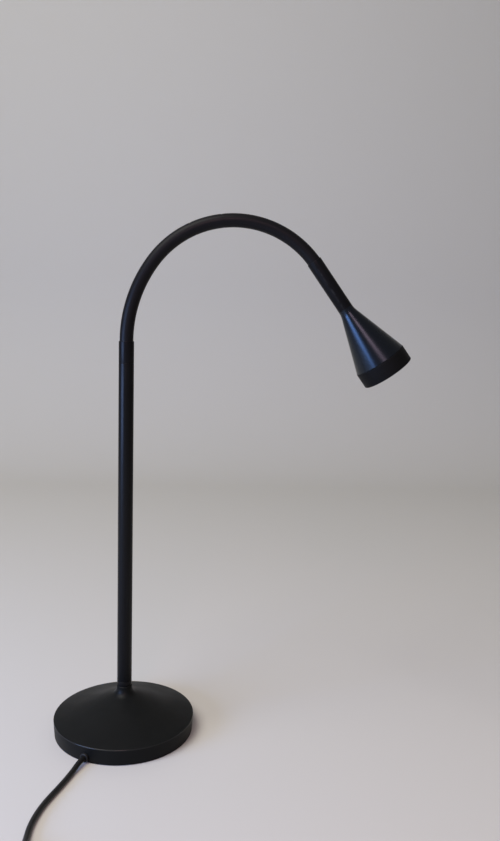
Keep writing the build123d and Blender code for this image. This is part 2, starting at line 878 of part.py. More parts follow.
# Parts on the board: transformer and two capacitors
parts_height = case_height - case_wall - driver_rest - driver_board_thickness - lid_thickness
with BuildPart() as driver_parts:
    with BuildSketch(radial_plane(board_top_z)):
        with Locations((board_middle + board_length / 8, 0)):
            Rectangle(board_length / 3, board_width / 2)
    extrude(amount=parts_height - 2 * lead_gap)
    with BuildSketch(radial_plane(board_top_z)):
        with Locations((board_middle - board_length / 4, 0)):
            with GridLocations(0, board_width / 2, 1, 2):
                Circle(board_width / 8)
    extrude(amount=parts_height - 4 * lead_gap)
save(driver_parts, "driver_parts")

# Mains lead from the bushing's face into the case
mains_start = case_start + case_length - case_wall - lead_gap
with BuildPart() as mains_lead:
    with BuildSketch(exit_plane.offset(mains_start)):
        Circle(mains_radius)
    extrude(amount=bushing_end - mains_start)
save(mains_lead, "mains_lead")

# Lamp lead from the case to the stem's axis and up to the arm
lead_start = exit_direction * (case_start + lead_gap) + Vector(0, 0, lead_z)
with BuildPart() as lamp_lead:
    with BuildLine() as lamp_line:
        FilletPolyline(lead_start, (0, 0, lead_z), (0, 0, socket_floor_z), radius=lead_bend)
    with BuildSketch(Plane(origin=lead_start, z_dir=-exit_direction)):
        Circle(lamp_lead_radius)
    sweep(path=lamp_line.line)
save(lamp_lead, "lamp_lead")

# In-line switch, lying on the surface; x runs along the cord
switch_turn = math.radians(switch_azimuth)
switch_direction = Vector(math.cos(switch_turn), math.sin(switch_turn), 0)
switch_reach = switch_length / 2 + relief_length
switch_start = Vector(switch_x, switch_y, switch_split_z)
switch_middle = switch_start + switch_direction * switch_reach
switch_end = switch_start + switch_direction * 2 * switch_reach


def switch_plane(height):
    """Level plane in the middle of the switch, x along the cord."""
    return Plane(
        origin=(switch_middle.X, switch_middle.Y, height),
        x_dir=switch_direction,
        z_dir=(0, 0, 1),
    )


relief_profile = Plane(origin=switch_middle, x_dir=switch_direction, z_dir=(0, 0, 1))
relief_axis = Axis(switch_middle, switch_direction)
switch_posts = [(switch_post_x, switch_post_y), (-switch_post_x, -switch_post_y)]


# Outer half shells of the switch, each with its halves of the two tapered ends
half_heights = [
    (0, switch_split_z, switch_wall, switch_split_z),
    (switch_split_z, switch_height, switch_split_z, switch_height - switch_wall),
]
switch_shells = []
for bottom, top, floor_z, roof_z in half_heights:
    with BuildPart() as half_shell:
        with BuildSketch(relief_profile):
            with BuildLine():
                Polyline(
                    (-switch_reach, 0),
                    (-switch_reach, relief_end_radius),
                    (-switch_length / 2, relief_start_radius),
                    (switch_length / 2, relief_start_radius),
                    (switch_reach, relief_end_radius),
                    (switch_reach, 0),
                    close=True,
                )
            make_face()
        revolve(axis=relief_axis)
        with BuildSketch(switch_plane(bottom)):
            Rectangle(3 * switch_reach, 2 * switch_width)
        extrude(amount=top - bottom, mode=Mode.INTERSECT)
        with BuildSketch(switch_plane(bottom)):
            RectangleRounded(switch_length, switch_width, switch_corner)
        extrude(amount=top - bottom)
        with BuildSketch(switch_plane(floor_z)):
            RectangleRounded(
                switch_length - 2 * switch_wall,
                switch_width - 2 * switch_wall,
                switch_corner - switch_wall,
            )
        extrude(amount=roof_z - floor_z, mode=Mode.SUBTRACT)
    switch_shells.append(half_shell.part)

with BuildPart() as switch_base:
    add(switch_shells[0])
    with BuildSketch(switch_plane(switch_wall)):
        with Locations(*switch_posts):
            Circle(switch_post_radius)
    extrude(amount=switch_split_z - switch_wall)
    with BuildSketch(switch_plane(0)):
        with Locations(*switch_posts):
            Circle(switch_screw_radius + thread_gap)
    extrude(amount=switch_split_z, mode=Mode.SUBTRACT)
    with BuildSketch(switch_plane(0)):
        with Locations(*switch_posts):
            Circle(switch_screw_head + thread_gap)
    extrude(amount=switch_wall, mode=Mode.SUBTRACT)
    rim = switch_base.faces().sort_by(Axis.Z)[0].outer_wire().edges()
    fillet(rim, switch_edge / 2)
save(switch_base, "switch_base")

pivot_z = switch_height - rocker_pivot_drop
pivot = Vector(switch_middle.X, switch_middle.Y, pivot_z)
pivot_direction = switch_direction.cross(Vector(0, 0, 1))
window_length = 2 * (rocker_radius + rocker_gap)
window_width = rocker_width + 2 * rocker_gap
cheek_y = (window_width + cheek_thickness) / 2
with BuildPart() as switch_cover:
    add(switch_shells[1])
    rim = switch_cover.faces().sort_by(Axis.Z)[-1].outer_wire().edges()
    fillet(rim, switch_edge)
    with BuildSketch(switch_plane(switch_split_z)):
        with Locations(*switch_posts):
            Circle(switch_post_radius)
    extrude(amount=switch_height - switch_wall - switch_split_z)
    with BuildSketch(switch_plane(pivot_z - 2 * pivot_radius - pivot_gap)):
        with GridLocations(0, 2 * cheek_y, 1, 2):
            Rectangle(cheek_length, cheek_thickness)
    extrude(amount=switch_height - switch_wall / 2 - pivot_z + 2 * pivot_radius + pivot_gap)
    with BuildSketch(switch_plane(switch_height - switch_wall)):
        Rectangle(window_length, window_width)
    extrude(amount=switch_wall, mode=Mode.SUBTRACT)
    with BuildSketch(switch_plane(switch_split_z)):
        with Locations(*switch_posts):
            Circle(switch_screw_radius + thread_gap)
    extrude(amount=switch_screw_length - switch_split_z + switch_wall, mode=Mode.SUBTRACT)
    with BuildSketch(Plane(origin=pivot, x_dir=switch_direction, z_dir=pivot_direction)):
        Circle(pivot_radius + pivot_gap)
    extrude(amount=cheek_y + cheek_thickness / 2 - lead_gap, both=True, mode=Mode.SUBTRACT)
save(switch_cover, "switch_cover")

# Rocker: an upright profile between two arcs about the pivot, tilted to its pressed side at rest
tilt = math.radians(rocker_rest_tilt)
tilted = switch_direction * math.cos(tilt) + Vector(0, 0, 1) * math.sin(tilt)
rocker_plane = Plane(origin=pivot, x_dir=tilted, z_dir=pivot_direction)


def rocker_rim(degrees):
    """Point on the rocker's end arc, in the rocker's own plane."""
    angle = math.radians(degrees)
    return (rocker_radius * math.cos(angle), rocker_radius * math.sin(angle))


top_right = rocker_rim(rocker_top_angle)
low_right = rocker_rim(-rocker_bottom_angle)
mid_right = rocker_rim((rocker_top_angle - rocker_bottom_angle) / 2)
with BuildPart() as rocker:
    with BuildSketch(rocker_plane) as rocker_sketch:
        with BuildLine():
            ThreePointArc(top_right, mid_right, low_right)
            Line(low_right, (-low_right[0], low_right[1]))
            ThreePointArc(
                (-low_right[0], low_right[1]),
                (-mid_right[0], mid_right[1]),
                (-top_right[0], top_right[1]),
            )
            Polyline(
                (-top_right[0], top_right[1]),
                (0, top_right[1] - rocker_dip),
                top_right,
            )
        make_face()
    extrude(amount=rocker_width / 2, both=True)
    with BuildSketch(rocker_plane):
        Circle(pivot_radius)
    extrude(amount=window_width / 2 + cheek_thickness / 2, both=True)
save(rocker, "rocker")

with BuildPart() as switch_contacts:
    with BuildSketch(switch_plane(switch_wall)):
        with GridLocations(0, 2 * contact_offset, 1, 2):
            Rectangle(contact_length, contact_width)
    extrude(amount=contact_thickness)
    with BuildSketch(switch_plane(switch_wall)):
        with GridLocations(contact_length - contact_thickness, 2 * contact_offset, 2, 2):
            Rectangle(contact_thickness, contact_width)
    extrude(amount=contact_height)
save(switch_contacts, "switch_contacts")

with BuildPart() as switch_screws:
    with BuildSketch(switch_plane(switch_wall)):
        with Locations(*switch_posts):
            Circle(switch_screw_head)
    extrude(amount=-switch_wall / 2)
    with BuildSketch(switch_plane(switch_wall)):
        with Locations(*switch_posts):
            Circle(switch_screw_radius)
    extrude(amount=switch_screw_length)
save(switch_screws, "switch_screws")

# Cord tube from the bushing to the switch: hand-chosen points joined by straight runs and large arcs
cord_rest_z = mains_radius + cord_rest_gap
cord_exit = exit_direction * bushing_end + Vector(0, 0, mains_z)
exit_foot = Vector(cord_exit.X, cord_exit.Y, cord_rest_z)
switch_foot = Vector(switch_x, switch_y, cord_rest_z)
to_switch_points = [
    cord_exit,
    cord_exit + exit_direction * cord_exit_run,
    exit_foot + Vector(-7.0, -17.9, 0),
    exit_foot + Vector(-13.0, -36.9, 0),
    exit_foot + Vector(-22.9, -63.8, 0),
    exit_foot + Vector(-27.1, -88.1, 0),
    switch_foot + Vector(-3.3, 22.5, 0),
    switch_start - switch_direction * switch_entry_run,
    switch_start,
]
coil_start_radius = coil_inner_radius + coil_turns * (2 * mains_radius + coil_gap)
coil_start = Vector(coil_x, coil_y - coil_start_radius, cord_rest_z)
to_coil_points = [
    switch_end,
    switch_end + switch_direction * switch_leave_run,
    coil_start + Vector(-60.3, 13.8, 0),
    coil_start + Vector(-48.4, 4.0, 0),
    coil_start + Vector(-34.0, -1.2, 0),
    coil_start + Vector(-18.5, 0, 0),
    coil_start - Vector(2 * mains_radius, 0, 0),
]


def corner_radii(points):
    """Largest arc for each corner, from a share of the shorter run and half the turn."""
    radii = []
    for before, corner, after in zip(points[:-2], points[1:-1], points[2:]):
        run_in = corner - before
        run_out = after - corner
        turn = math.radians(run_in.get_angle(run_out))
        radii.append(corner_share * min(run_in.length, run_out.length) / math.tan(turn / 2))
    return radii


for name, points in (("cord_to_switch", to_switch_points), ("cord_to_coil", to_coil_points)):
    radii = corner_radii(points)
    with BuildPart() as cord:
        with BuildLine() as cord_line:
            FilletPolyline(*points, radius=radii)
        with BuildSketch(Plane(origin=points[0], z_dir=points[1] - points[0])):
            Circle(mains_radius)
        sweep(path=cord_line.line)
    save(cord, name)
    cord_length = cord_line.wires()[0].length
    expected = math.pi * mains_radius**2 * cord_length
    print(name, "radii", [round(r, 1) for r in radii], "length", round(cord_length, 1))
    print(name, "volume share", round(cord.part.volume / expected, 4))

# Coil: radius falls and rises at a steady rate, with the climb in the half turn where it reverses
coil_step = 2 * mains_radius + coil_gap
coil_middle = 2 * math.pi * coil_turns
coil_total = 2 * coil_middle


def coil_point(angle):
    """Point on the coil's centreline after a turned angle."""
    radius = coil_inner_radius + coil_step * abs(angle - coil_middle) / (2 * math.pi)
    share = min(1.0, max(0.0, (angle - coil_middle) / math.pi + 0.5))
    rise = coil_step * share * share * (3 - 2 * share)
    return Vector(
        coil_x + radius * math.sin(angle),
        coil_y - radius * math.cos(angle),
        cord_rest_z + rise,
    )


def coil_tangent(angle):
    """Unit direction of the coil at a turned angle, level at the ends of the climb."""
    step = 1e-4
    return (coil_point(angle + step) - coil_point(angle - step)).normalized()


def biarc(start, start_way, end, end_way):
    """Two arcs in space that join smoothly; inside a BuildLine block."""
    gap = end - start
    sum_way = start_way + end_way
    a = 2 * (start_way.dot(end_way) - 1)
    b = -2 * gap.dot(sum_way)
    c = gap.dot(gap)
    reach = (-b - math.sqrt(b * b - 4 * a * c)) / (2 * a)
    first = start + start_way * reach
    last = end - end_way * reach
    middle = (first + last) / 2
    TangentArc(start, middle, tangent=start_way)
    TangentArc(middle, end, tangent=(last - first).normalized())


half_turns = round(coil_total / math.pi)
coil_stops = [coil_total * i / half_turns for i in range(half_turns + 1)]
coil_ways = [coil_tangent(stop) for stop in coil_stops]
coil_ways[0] = Vector(1, 0, 0)
coil_ways[-1] = Vector(1, 0, 0)
with BuildPart() as cord_coil:
    with BuildLine() as coil_line:
        Line(coil_point(0) - Vector(2 * mains_radius, 0, 0), coil_point(0))
        for i in range(half_turns):
            biarc(
                coil_point(coil_stops[i]),
                coil_ways[i],
                coil_point(coil_stops[i + 1]),
                coil_ways[i + 1],
            )
        Line(coil_point(coil_total), coil_point(coil_total) + Vector(coil_tail, 0, 0))
    with BuildSketch(Plane(origin=coil_point(0) - Vector(2 * mains_radius, 0, 0), z_dir=(1, 0, 0))):
        Circle(mains_radius)
    sweep(path=coil_line.line)
save(cord_coil, "cord_coil")
coil_wire = coil_line.wires()[0]
coil_length = coil_wire.length
coil_expected = math.pi * mains_radius**2 * coil_length
print("coil length", round(coil_length, 1), "volume share", round(cord_coil.part.volume / coil_expected, 4))

# Least gap of the coil to itself, on points along its line
sample_count = 900
samples = [coil_wire.position_at(i / sample_count) for i in range(sample_count + 1)]
spacing = coil_length / sample_count
skip = int(4 * coil_step / spacing)
least = min(
    (samples[i] - samples[j]).length
    for i in range(sample_count + 1)
    for j in range(i + skip, sample_count + 1)
)
print("coil least gap", round(least - 2 * mains_radius, 3))

# Plug at the coil's end: moulded body with a tapered relief, two pins
plug_z = cord_rest_z + coil_step
plug_start = coil_point(coil_total) + Vector(coil_tail, 0, 0)
plug_front_x = plug_start.X + plug_relief_length + plug_length
plug_axis = Axis(plug_start, (1, 0, 0))
with BuildPart() as plug_body:
    with BuildSketch(Plane.XY):
        with BuildLine():
            Polyline(
                (plug_front_x, plug_start.Y - plug_width / 2),
                (plug_front_x, plug_start.Y + plug_width / 2),
                (plug_front_x - plug_length / 2, plug_start.Y + plug_width / 2),
                (plug_front_x - plug_length, plug_start.Y + plug_nose_width / 2),
                (plug_front_x - plug_length, plug_start.Y - plug_nose_width / 2),
                (plug_front_x - plug_length / 2, plug_start.Y - plug_width / 2),
                close=True,
            )
        make_face()
    extrude(amount=2 * plug_z)
    fillet(plug_body.edges().filter_by(Axis.Z), plug_edge)
    fillet(plug_body.faces().sort_by(Axis.Z)[-1].edges(), plug_edge / 2)
    with BuildSketch(Plane(origin=plug_start, x_dir=(1, 0, 0), z_dir=(0, 0, 1))):
        with BuildLine():
            Polyline(
                (0, 0),
                (0, mains_radius + plug_edge / 2),
                (plug_relief_length + plug_edge, plug_relief_radius),
                (plug_relief_length + plug_edge, 0),
                close=True,
            )
        make_face()
    revolve(axis=plug_axis)
    with BuildSketch(Plane(origin=(plug_front_x, plug_start.Y, plug_z), z_dir=(1, 0, 0))):
        with GridLocations(0, pin_spacing, 1, 2):
            Circle(pin_radius)
    extrude(amount=-pin_grip, mode=Mode.SUBTRACT)
save(plug_body, "plug_body")

with BuildPart() as plug_pins:
    with BuildSketch(Plane(origin=(plug_front_x - pin_grip, plug_start.Y, plug_z), z_dir=(1, 0, 0))):
        with GridLocations(0, pin_spacing, 1, 2):
            Circle(pin_radius)
    extrude(amount=pin_length + pin_grip)
    fillet(plug_pins.faces().group_by(Axis.X)[-1].edges(), pin_radius / 2)
save(plug_pins, "plug_pins")

print(len(save_order), "pieces")
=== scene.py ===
"""A small desk lamp with a bendable arm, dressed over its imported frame. All lengths are in metres."""

import logging
import math
from collections.abc import Callable, Iterable, Sequence
from dataclasses import dataclass, field
from enum import Enum

import bmesh
import bpy
from mathutils import Matrix, Vector


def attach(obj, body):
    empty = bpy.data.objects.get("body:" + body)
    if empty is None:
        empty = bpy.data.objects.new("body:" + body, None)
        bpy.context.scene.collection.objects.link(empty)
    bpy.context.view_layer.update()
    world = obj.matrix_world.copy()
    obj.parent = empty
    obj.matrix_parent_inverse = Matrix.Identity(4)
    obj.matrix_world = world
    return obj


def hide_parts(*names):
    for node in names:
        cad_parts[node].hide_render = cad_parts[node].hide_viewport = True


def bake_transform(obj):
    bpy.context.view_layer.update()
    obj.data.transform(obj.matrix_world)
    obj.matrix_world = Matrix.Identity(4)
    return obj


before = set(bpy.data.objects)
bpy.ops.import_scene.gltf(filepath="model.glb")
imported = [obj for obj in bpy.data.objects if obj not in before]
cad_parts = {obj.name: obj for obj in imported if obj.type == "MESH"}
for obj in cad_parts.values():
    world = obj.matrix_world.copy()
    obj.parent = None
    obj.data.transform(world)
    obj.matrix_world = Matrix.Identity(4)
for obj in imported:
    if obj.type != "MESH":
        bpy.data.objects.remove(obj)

LOG = logging.getLogger("desk_lamp")
Point2 = tuple[float, float]
Point3 = tuple[float, float, float]


class Lay(Enum):
    """How the mesh of a piece is shaded."""

    SMOOTH = "smooth"
    FACETED = "faceted"


# Shared shader effects


WORN_TONE: Point3 = (0.1, 0.1, 0.1)
DUST_TONE: Point3 = (0.16, 0.155, 0.145)
RELIEF_STRENGTH = 0.6


class Wiring:
    """Adds nodes to a node tree and joins their sockets."""

    def __init__(self, tree: bpy.types.NodeTree) -> None:
        """Keep the tree that is worked on."""
        self.tree = tree

    def feed(self, socket: bpy.types.NodeSocket, value: object) -> None:
        """Link a socket to another one, or set it to a number or colour.

        Args:
            socket: input socket.
            value: output socket, number or colour.
        """
        if isinstance(value, bpy.types.NodeSocket):
            self.tree.links.new(value, socket)
        else:
            socket.default_value = value

    def add(self, kind: str, inputs: dict[str | int, object], **settings: object) -> bpy.types.Node:
        """Add a node.

        Args:
            kind: node type, without the word ShaderNode.
            inputs: what each input is fed, by its name or number.
            settings: properties of the node, set first.

        Returns:
            The new node.
        """
        node = self.tree.nodes.new(f"ShaderNode{kind}")
        for label, value in settings.items():
            setattr(node, label, value)
        for label, value in inputs.items():
            self.feed(node.inputs[label], value)
        return node

    def maths(self, operation: str, *values: object) -> bpy.types.NodeSocket:
        """Add a maths node and give its result."""
        return self.add("Math", dict(enumerate(values)), operation=operation).outputs["Value"]

    def noise(self, scale: object, detail: float, **inputs: object) -> bpy.types.NodeSocket:
        """Add a noise texture in the object's own space and give its value.

        Args:
            scale: scale of the noise, a number or a socket.
            detail: number of finer layers.
            inputs: further inputs, such as Vector or Roughness.

        Returns:
            The noise's value.
        """
        if "Vector" not in inputs:
            inputs["Vector"] = self.add("TexCoord", {}).outputs["Object"]
        return self.add("TexNoise", {"Scale": scale, "Detail": detail, **inputs}).outputs["Fac"]

    def ramp(
        self, source: bpy.types.NodeSocket, low: float, high: float, out_low: object, out_high: object
    ) -> bpy.types.NodeSocket:
        """Map a value linearly from one range to another.

        Args:
            source: output socket that is mapped.
            low: value that gives out_low.
            high: value that gives out_high.
            out_low: number or socket at the low end.
            out_high: number or socket at the high end.

        Returns:
            The mapped output socket.
        """
        inputs = {"Value": source, "From Min": low, "From Max": high, "To Min": out_low, "To Max": out_high}
        return self.add("MapRange", inputs).outputs["Result"]


class SharedEffect:
    """A shader node group with its sockets, to be filled by a function."""

    def __init__(self, name: str, inputs: dict[str, float], outputs: Sequence[str]) -> None:
        """Make the group.

        Args:
            name: name of the group.
            inputs: default of each input.
            outputs: names of the outputs.
        """
        self.group = bpy.data.node_groups.new(name, "ShaderNodeTree")
        for label, value in inputs.items():
            socket = self.group.interface.new_socket(label, in_out="INPUT", socket_type="NodeSocketFloat")
            socket.default_value = value
        for label in outputs:
            self.group.interface.new_socket(label, in_out="OUTPUT", socket_type="NodeSocketFloat")
        self.enter = self.group.nodes.new("NodeGroupInput").outputs
        self.leave = self.group.nodes.new("NodeGroupOutput").inputs
        self.wiring = Wiring(self.group)


def surface_grain_group() -> bpy.types.NodeTree:
    """Build the group that gives a fine grain: a varying roughness and a height.

    Returns:
        The group.
    """
    effect = SharedEffect(
        "Surface grain",
        {"Fineness": 900.0, "Stretch": 1.0, "Roughness low": 0.3, "Roughness high": 0.4},
        ("Roughness", "Height"),
    )
    wiring = effect.wiring
    place = wiring.add("TexCoord", {}).outputs["Object"]
    factors = wiring.add("CombineXYZ", {"X": 1.0, "Y": 1.0, "Z": effect.enter["Stretch"]})
    stretched = wiring.add("VectorMath", {0: place, 1: factors.outputs["Vector"]}, operation="MULTIPLY")
    fine = wiring.noise(
        effect.enter["Fineness"], 4.0, Roughness=0.6, Vector=stretched.outputs["Vector"]
    )
    broad = wiring.noise(34.0, 3.0, Vector=place)
    blend = wiring.maths("MULTIPLY_ADD", fine, 0.35, wiring.ramp(broad, 0.3, 0.7, 0.0, 0.65))
    rough = wiring.ramp(blend, 0.1, 0.9, effect.enter["Roughness low"], effect.enter["Roughness high"])
    wiring.feed(effect.leave["Roughness"], rough)
    wiring.feed(effect.leave["Height"], fine)
    return effect.group


def settled_dust_group() -> bpy.types.NodeTree:
    """Build the group that gives a mask of faint dust on faces that look up.

    Returns:
        The group.
    """
    effect = SharedEffect("Settled dust", {"Amount": 0.1, "Patch size": 60.0}, ("Mask",))
    wiring = effect.wiring
    normal = wiring.add("NewGeometry", {}).outputs["Normal"]
    upward = wiring.ramp(wiring.add("SeparateXYZ", {"Vector": normal}).outputs["Z"], 0.35, 1.0, 0.0, 1.0)
    spots = wiring.ramp(wiring.noise(effect.enter["Patch size"], 6.0), 0.35, 0.75, 0.3, 1.0)
    both = wiring.maths("MULTIPLY", upward, spots)
    wiring.feed(effect.leave["Mask"], wiring.maths("MULTIPLY", both, effect.enter["Amount"]))
    return effect.group


def rubbed_edge_group() -> bpy.types.NodeTree:
    """Build the group that gives a mask of lightly rubbed convex edges.

    Returns:
        The group.
    """
    effect = SharedEffect("Rubbed edge", {"Amount": 0.2, "Breaks": 220.0}, ("Mask",))
    wiring = effect.wiring
    edge = wiring.ramp(wiring.add("NewGeometry", {}).outputs["Pointiness"], 0.52, 0.6, 0.0, 1.0)
    broken = wiring.ramp(wiring.noise(effect.enter["Breaks"], 5.0), 0.42, 0.62, 0.0, 1.0)
    both = wiring.maths("MULTIPLY", edge, broken)
    wiring.feed(effect.leave["Mask"], wiring.maths("MULTIPLY", both, effect.enter["Amount"]))
    return effect.group


def polished_band_group() -> bpy.types.NodeTree:
    """Build the group that gives a mask of a level band between two heights.

    Returns:
        The group.
    """
    effect = SharedEffect("Polished band", {"Low": 0.0, "High": 1.0, "Amount": 1.0}, ("Mask",))
    wiring = effect.wiring
    place = wiring.add("TexCoord", {}).outputs["Object"]
    height = wiring.add("SeparateXYZ", {"Vector": place}).outputs["Z"]
    above = wiring.maths("GREATER_THAN", height, effect.enter["Low"])
    below = wiring.maths("LESS_THAN", height, effect.enter["High"])
    both = wiring.maths("MULTIPLY", above, below)
    wiring.feed(effect.leave["Mask"], wiring.maths("MULTIPLY", both, effect.enter["Amount"]))
    return effect.group


@dataclass(frozen=True)
class Finish:
    """A surface finish: its colours, its gloss and its fine relief."""

    name: str
    colour: Point3
    second_colour: Point3
    roughness: Point2
    fineness: float
    relief: float
    metallic: float = 0.0
    specular: float = 0.5
    coat: float = 0.0
    coat_roughness: float = 0.2
    dust: float = 0.0
    wear: float = 0.0
    transmission: float = 0.0
    stretch: float = 1.0
    sheen_tint: Point3 = (1.0, 1.0, 1.0)
    polish: float = 0.0
    polish_band: Point2 = (0.0, 1.0)


class Workshop:
    """Makes each finish once, from the shared effects, and mounts the finished pieces."""

    def __init__(self) -> None:
        """Build the shared effects."""
        self.grain = surface_grain_group()
        self.dust = settled_dust_group()
        self.edge = rubbed_edge_group()
        self.band = polished_band_group()
        self.made: dict[str, bpy.types.Material] = {}

    def effect(self, wiring: Wiring, group: bpy.types.NodeTree, **values: float) -> bpy.types.Node:
        """Place a shared effect in a material, with its own numbers.

        Args:
            wiring: the material's node tree.
            group: shared effect.
            values: numbers for its inputs, with a low line for a space.

        Returns:
            The group node.
        """
        node = wiring.add("Group", {}, node_tree=group)
        for label, value in values.items():
            node.inputs[label.replace("_", " ")].default_value = value
        return node

    def colour(self, wiring: Wiring, finish: Finish, grain: bpy.types.NodeSocket) -> bpy.types.NodeSocket:
        """Mix the two colours of a finish, with its rubbed edges and its dust.

        Args:
            wiring: the material's node tree.
            finish: the finish.
            grain: output socket that mixes the two colours.

        Returns:
            The colour's output socket.
        """
        inputs = {"Factor": grain, "A": (*finish.colour, 1.0), "B": (*finish.second_colour, 1.0)}
        result = wiring.add("Mix", inputs, data_type="RGBA").outputs["Result"]
        for amount, group, tone in ((finish.wear, self.edge, WORN_TONE), (finish.dust, self.dust, DUST_TONE)):
            if amount:
                mask = self.effect(wiring, group, Amount=amount).outputs["Mask"]
                inputs = {"Factor": mask, "A": result, "B": (*tone, 1.0)}
                result = wiring.add("Mix", inputs, data_type="RGBA").outputs["Result"]
        return result

    def material(self, finish: Finish) -> bpy.types.Material:
        """Make the material of a finish, or give the one already made.

        Args:
            finish: the finish.

        Returns:
            The material.
        """
        if finish.name in self.made:
            return self.made[finish.name]
        material = bpy.data.materials.new(finish.name)
        material.use_nodes = True
        wiring = Wiring(material.node_tree)
        shader = material.node_tree.nodes["Principled BSDF"].inputs
        low, high = finish.roughness
        grain = self.effect(
            wiring,
            self.grain,
            Fineness=finish.fineness,
            Stretch=finish.stretch,
            Roughness_low=low,
            Roughness_high=high,
        )
        relief = {"Strength": RELIEF_STRENGTH, "Distance": finish.relief, "Height": grain.outputs["Height"]}
        sockets: dict[str, object] = {
            "Base Color": self.colour(wiring, finish, grain.outputs["Height"]),
            "Roughness": grain.outputs["Roughness"],
            "Normal": wiring.add("Bump", relief).outputs["Normal"],
            "Metallic": finish.metallic,
            "Specular IOR Level": finish.specular,
            "Specular Tint": (*finish.sheen_tint, 1.0),
            "Coat Weight": finish.coat,
            "Coat Roughness": finish.coat_roughness,
            "Transmission Weight": finish.transmission,
        }
        if finish.polish:
            low, high = finish.polish_band
            band = self.effect(wiring, self.band, Low=low, High=high, Amount=finish.polish)
            sockets["Coat Weight"] = band.outputs["Mask"]
        for label, value in sockets.items():
            wiring.feed(shader[label], value)
        material.diffuse_color = (*finish.colour, 1.0)
        self.made[finish.name] = material
        return material

    def dress(self, piece: bpy.types.Object, finish: Finish) -> None:
        """Give a piece one finish all over."""
        piece.data.materials.clear()
        piece.data.materials.append(self.material(finish))

    def dress_node(self, node: str, finish: Finish) -> None:
        """Give a node of the frame a finish on its own slots."""
        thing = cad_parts[node]
        for held in thing.material_slots:
            held.material = self.material(finish)

    def mount(self, piece: bpy.types.Object, finish: Finish, slot: str, body: str, *nodes: str) -> None:
        """Dress a piece, fix it to a body and let it stand for nodes of the frame.

        Args:
            piece: the piece.
            finish: its finish.
            slot: its material slot in the record; not used.
            body: body that carries it.
            nodes: nodes that it replaces.
        """
        self.dress(piece, finish)
        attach(piece, body)
        if nodes:
            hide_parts(*nodes)
        LOG.info("%s rides on %s", piece.name, body)


COVER_BLACK = Finish(
    "Cover black", (0.0032, 0.0037, 0.0036), (0.0055, 0.006, 0.0058), (0.42, 0.56), 1400.0,
    0.00002, specular=0.12, dust=0.012, wear=0.12, coat_roughness=0.14, polish=0.45,
    polish_band=(0.01445, 0.01545),
)
STEM_BLACK = Finish(
    "Stem black", (0.0035, 0.0038, 0.0045), (0.0055, 0.0058, 0.0065), (0.27, 0.38), 1500.0,
    0.000012, specular=0.13, wear=0.1,
)
COLLAR_BLACK = Finish(
    "Collar black", (0.004, 0.004, 0.0048), (0.006, 0.006, 0.007), (0.27, 0.36), 900.0,
    0.000006, specular=0.1, stretch=0.12, wear=0.1,
)
SLEEVE_BLACK = Finish(
    "Sleeve black", (0.0045, 0.0042, 0.0052), (0.0065, 0.0062, 0.0072), (0.36, 0.48), 1100.0,
    0.00001, specular=0.12, dust=0.015,
)
SHADE_BLACK = Finish(
    "Shade black", (0.0035, 0.0036, 0.005), (0.005, 0.0052, 0.0065), (0.22, 0.29), 700.0,
    0.000003, specular=0.34, sheen_tint=(0.6, 0.8, 1.0),
)
RING_BLACK = Finish(
    "Ring black", (0.003, 0.0031, 0.0034), (0.005, 0.0051, 0.0054), (0.5, 0.62), 1600.0,
    0.00003, specular=0.1,
)
PLASTIC_BLACK = Finish(
    "Plastic black", (0.006, 0.006, 0.0063), (0.0095, 0.0095, 0.01), (0.42, 0.58), 1500.0,
    0.00004, specular=0.28, dust=0.04, wear=0.12,
)
ROCKER_BLACK = Finish(
    "Rocker black", (0.008, 0.008, 0.0084), (0.011, 0.011, 0.0115), (0.22, 0.32), 900.0,
    0.00001, specular=0.4, wear=0.15,
)
CORD_BLACK = Finish(
    "Cord black", (0.005, 0.005, 0.0053), (0.008, 0.008, 0.0083), (0.38, 0.5), 900.0,
    0.00002, specular=0.28, dust=0.04,
)
PAD_RUBBER = Finish(
    "Pad rubber", (0.02, 0.02, 0.02), (0.032, 0.032, 0.031), (0.72, 0.88), 700.0,
    0.00008, specular=0.3, dust=0.1,
)
ZINC_STEEL = Finish(
    "Zinc steel", (0.52, 0.53, 0.55), (0.62, 0.62, 0.6), (0.28, 0.42), 400.0,
    0.00001, metallic=1.0,
)
SPIRAL_STEEL = Finish(
    "Spiral steel", (0.4, 0.4, 0.41), (0.5, 0.5, 0.5), (0.3, 0.45), 500.0,
    0.00002, metallic=1.0,
)
CAST_IRON = Finish(
    "Cast iron", (0.06, 0.06, 0.063), (0.1, 0.098, 0.095), (0.6, 0.8), 600.0,
    0.0002, metallic=0.6,
)
BRASS = Finish(
    "Plain brass", (0.68, 0.5, 0.22), (0.76, 0.58, 0.29), (0.2, 0.34), 350.0,
    0.00001, metallic=1.0,
)
BOARD_GREEN = Finish(
    "Board green", (0.02, 0.13, 0.05), (0.03, 0.17, 0.07), (0.3, 0.42), 500.0, 0.00001,
)
BOARD_WHITE = Finish(
    "Board white", (0.78, 0.78, 0.75), (0.84, 0.84, 0.81), (0.35, 0.45), 500.0, 0.00001,
)
DRIVER_WHITE = Finish(
    "Driver white", (0.62, 0.62, 0.59), (0.68, 0.68, 0.65), (0.45, 0.58), 900.0, 0.00004,
)
LED_YELLOW = Finish(
    "Phosphor yellow", (0.85, 0.68, 0.18), (0.9, 0.75, 0.25), (0.3, 0.4), 600.0, 0.00001,
    coat=0.6, coat_roughness=0.05,
)
SINK_ALUMINIUM = Finish(
    "Sink aluminium", (0.66, 0.67, 0.69), (0.76, 0.76, 0.77), (0.3, 0.45), 500.0,
    0.00001, metallic=1.0,
)
BRIGHT_COATING = Finish(
    "Bright coating", (0.86, 0.86, 0.87), (0.9, 0.9, 0.9), (0.06, 0.12), 200.0,
    0.000002, metallic=1.0,
)
